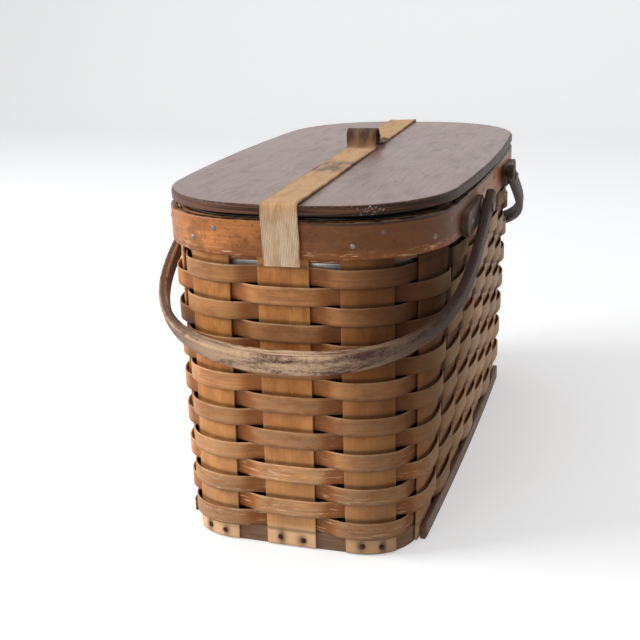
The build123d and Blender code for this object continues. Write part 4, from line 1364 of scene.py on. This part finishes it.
class BASKET_OT_stage(bpy.types.Operator):
    """Makes the floor, the backdrop, the lamps and the camera"""
    bl_idname = "basket.stage"
    bl_label = "Stage"

    def execute(self, context):
        scene = context.scene
        self.add_backdrop()
        self.add_light("Key", (-2.3, -0.85, 1.45), 1.3, 60)
        self.add_light("Front", (-0.5, -2.4, 1.2), 2.0, 13)
        self.add_light("Side", (2.2, 1.2, 1.4), 1.2, 6)
        self.add_light("Top", (0.0, 0.3, 2.6), 2.2, 14)
        self.add_camera(scene)
        self.add_world(scene)
        scene.view_settings.view_transform = "Standard"
        return {"FINISHED"}

    def add_world(self, scene):
        """Even light from all sides, brighter where the background itself is seen."""
        world = bpy.data.worlds.new("Room")
        world.use_nodes = True
        tree = world.node_tree
        background = tree.nodes["Background"]
        background.inputs["Color"].default_value = (0.97, 0.98, 1.0, 1)
        tree.links.new(level(tree, seen_rays(tree), 0.30, 0.62), background.inputs["Strength"])
        scene.world = world

    def add_backdrop(self):
        """A floor that curves up into a wall."""
        width, front, back, bend, top = 12.0, -6.0, 3.4, 1.2, 5.0
        outline = [(front, 0.0), (back - bend, 0.0)]
        outline += [(back - bend + bend * math.sin(t), bend * (1 - math.cos(t)))
                    for t in np.linspace(0, math.pi / 2, 13)[1:]]
        outline.append((back, top))
        points = [(x, y, z) for y, z in outline for x in (-width, width)]
        faces = [(2 * k, 2 * k + 1, 2 * k + 3, 2 * k + 2) for k in range(len(outline) - 1)]
        mesh = bpy.data.meshes.new("Backdrop")
        mesh.from_pydata(points, [], faces)
        smooth(mesh)
        paint = Paint("Backdrop", (0.66, 0.66, 0.67, 1), roughness=0.9, specular=0.1)
        seen = seen_rays(paint.tree)
        paint.cover((0.80, 0.805, 0.81, 1), seen)
        paint.give("Base Color", paint.colour)
        paint.give("Emission Color", (1, 1, 1, 1))
        paint.give("Emission Strength", paint.product(seen, 0.38))
        mesh.materials.append(paint.material)
        new_piece("Backdrop", mesh)

    def add_light(self, name, place, size, power):
        """A soft lamp that faces the basket."""
        lamp = bpy.data.lights.new(name, "AREA")
        lamp.energy, lamp.size = power, size
        light = bpy.data.objects.new(name, lamp)
        light.location = place
        light.rotation_euler = (Vector((0, 0, 0.15)) - Vector(place)).to_track_quat("-Z", "Y").to_euler()
        bpy.context.scene.collection.objects.link(light)

    def add_camera(self, scene):
        """The photograph's view."""
        forward = Vector((math.sin(camera_yaw) * math.cos(camera_pitch),
                          math.cos(camera_yaw) * math.cos(camera_pitch), -math.sin(camera_pitch)))
        right = Vector((math.cos(camera_yaw), -math.sin(camera_yaw), 0))
        up = right.cross(forward)
        turned_right = right * math.cos(camera_roll) + up * math.sin(camera_roll)
        turned_up = up * math.cos(camera_roll) - right * math.sin(camera_roll)
        lens = bpy.data.cameras.new("Camera")
        lens.sensor_width = 36.0
        lens.lens = lens.sensor_width * focal_pixels / frame_pixels
        camera = bpy.data.objects.new("Camera", lens)
        turn = [[turned_right[k], turned_up[k], -forward[k]] for k in range(3)]
        camera.matrix_world = Matrix([turn[k] + [camera_place[k]] for k in range(3)] + [[0, 0, 0, 1]])
        scene.collection.objects.link(camera)
        scene.camera = camera


class BASKET_PT_panel(bpy.types.Panel):
    """Lists the basket's pieces in the sidebar"""
    bl_idname = "BASKET_PT_panel"
    bl_label = "Picnic basket"
    bl_space_type = "VIEW_3D"
    bl_region_type = "UI"
    bl_category = "Basket"

    def draw(self, context):
        for operator in operators:
            self.layout.operator(operator.bl_idname)


operators = (BASKET_OT_weave, BASKET_OT_stakes, BASKET_OT_bands, BASKET_OT_nails, BASKET_OT_lid,
             BASKET_OT_handles, BASKET_OT_pivots, BASKET_OT_strap, BASKET_OT_inside, BASKET_OT_stage)
classes = (BasketSizes, BasketColours, *operators, BASKET_PT_panel)


def register():
    for item in classes:
        bpy.utils.register_class(item)
    bpy.types.Scene.basket_sizes = bpy.props.PointerProperty(type=BasketSizes)
    bpy.types.Scene.basket_colours = bpy.props.PointerProperty(type=BasketColours)


def unregister():
    del bpy.types.Scene.basket_colours
    del bpy.types.Scene.basket_sizes
    for item in reversed(classes):
        bpy.utils.unregister_class(item)


def main():
    """Makes every piece in order."""
    register()
    bpy.ops.basket.weave()
    bpy.ops.basket.stakes()
    bpy.ops.basket.bands()
    bpy.ops.basket.nails()
    bpy.ops.basket.lid()
    bpy.ops.basket.handles()
    bpy.ops.basket.pivots()
    bpy.ops.basket.strap()
    bpy.ops.basket.inside()
    bpy.ops.basket.stage()


if __name__ == "__main__":
    main()
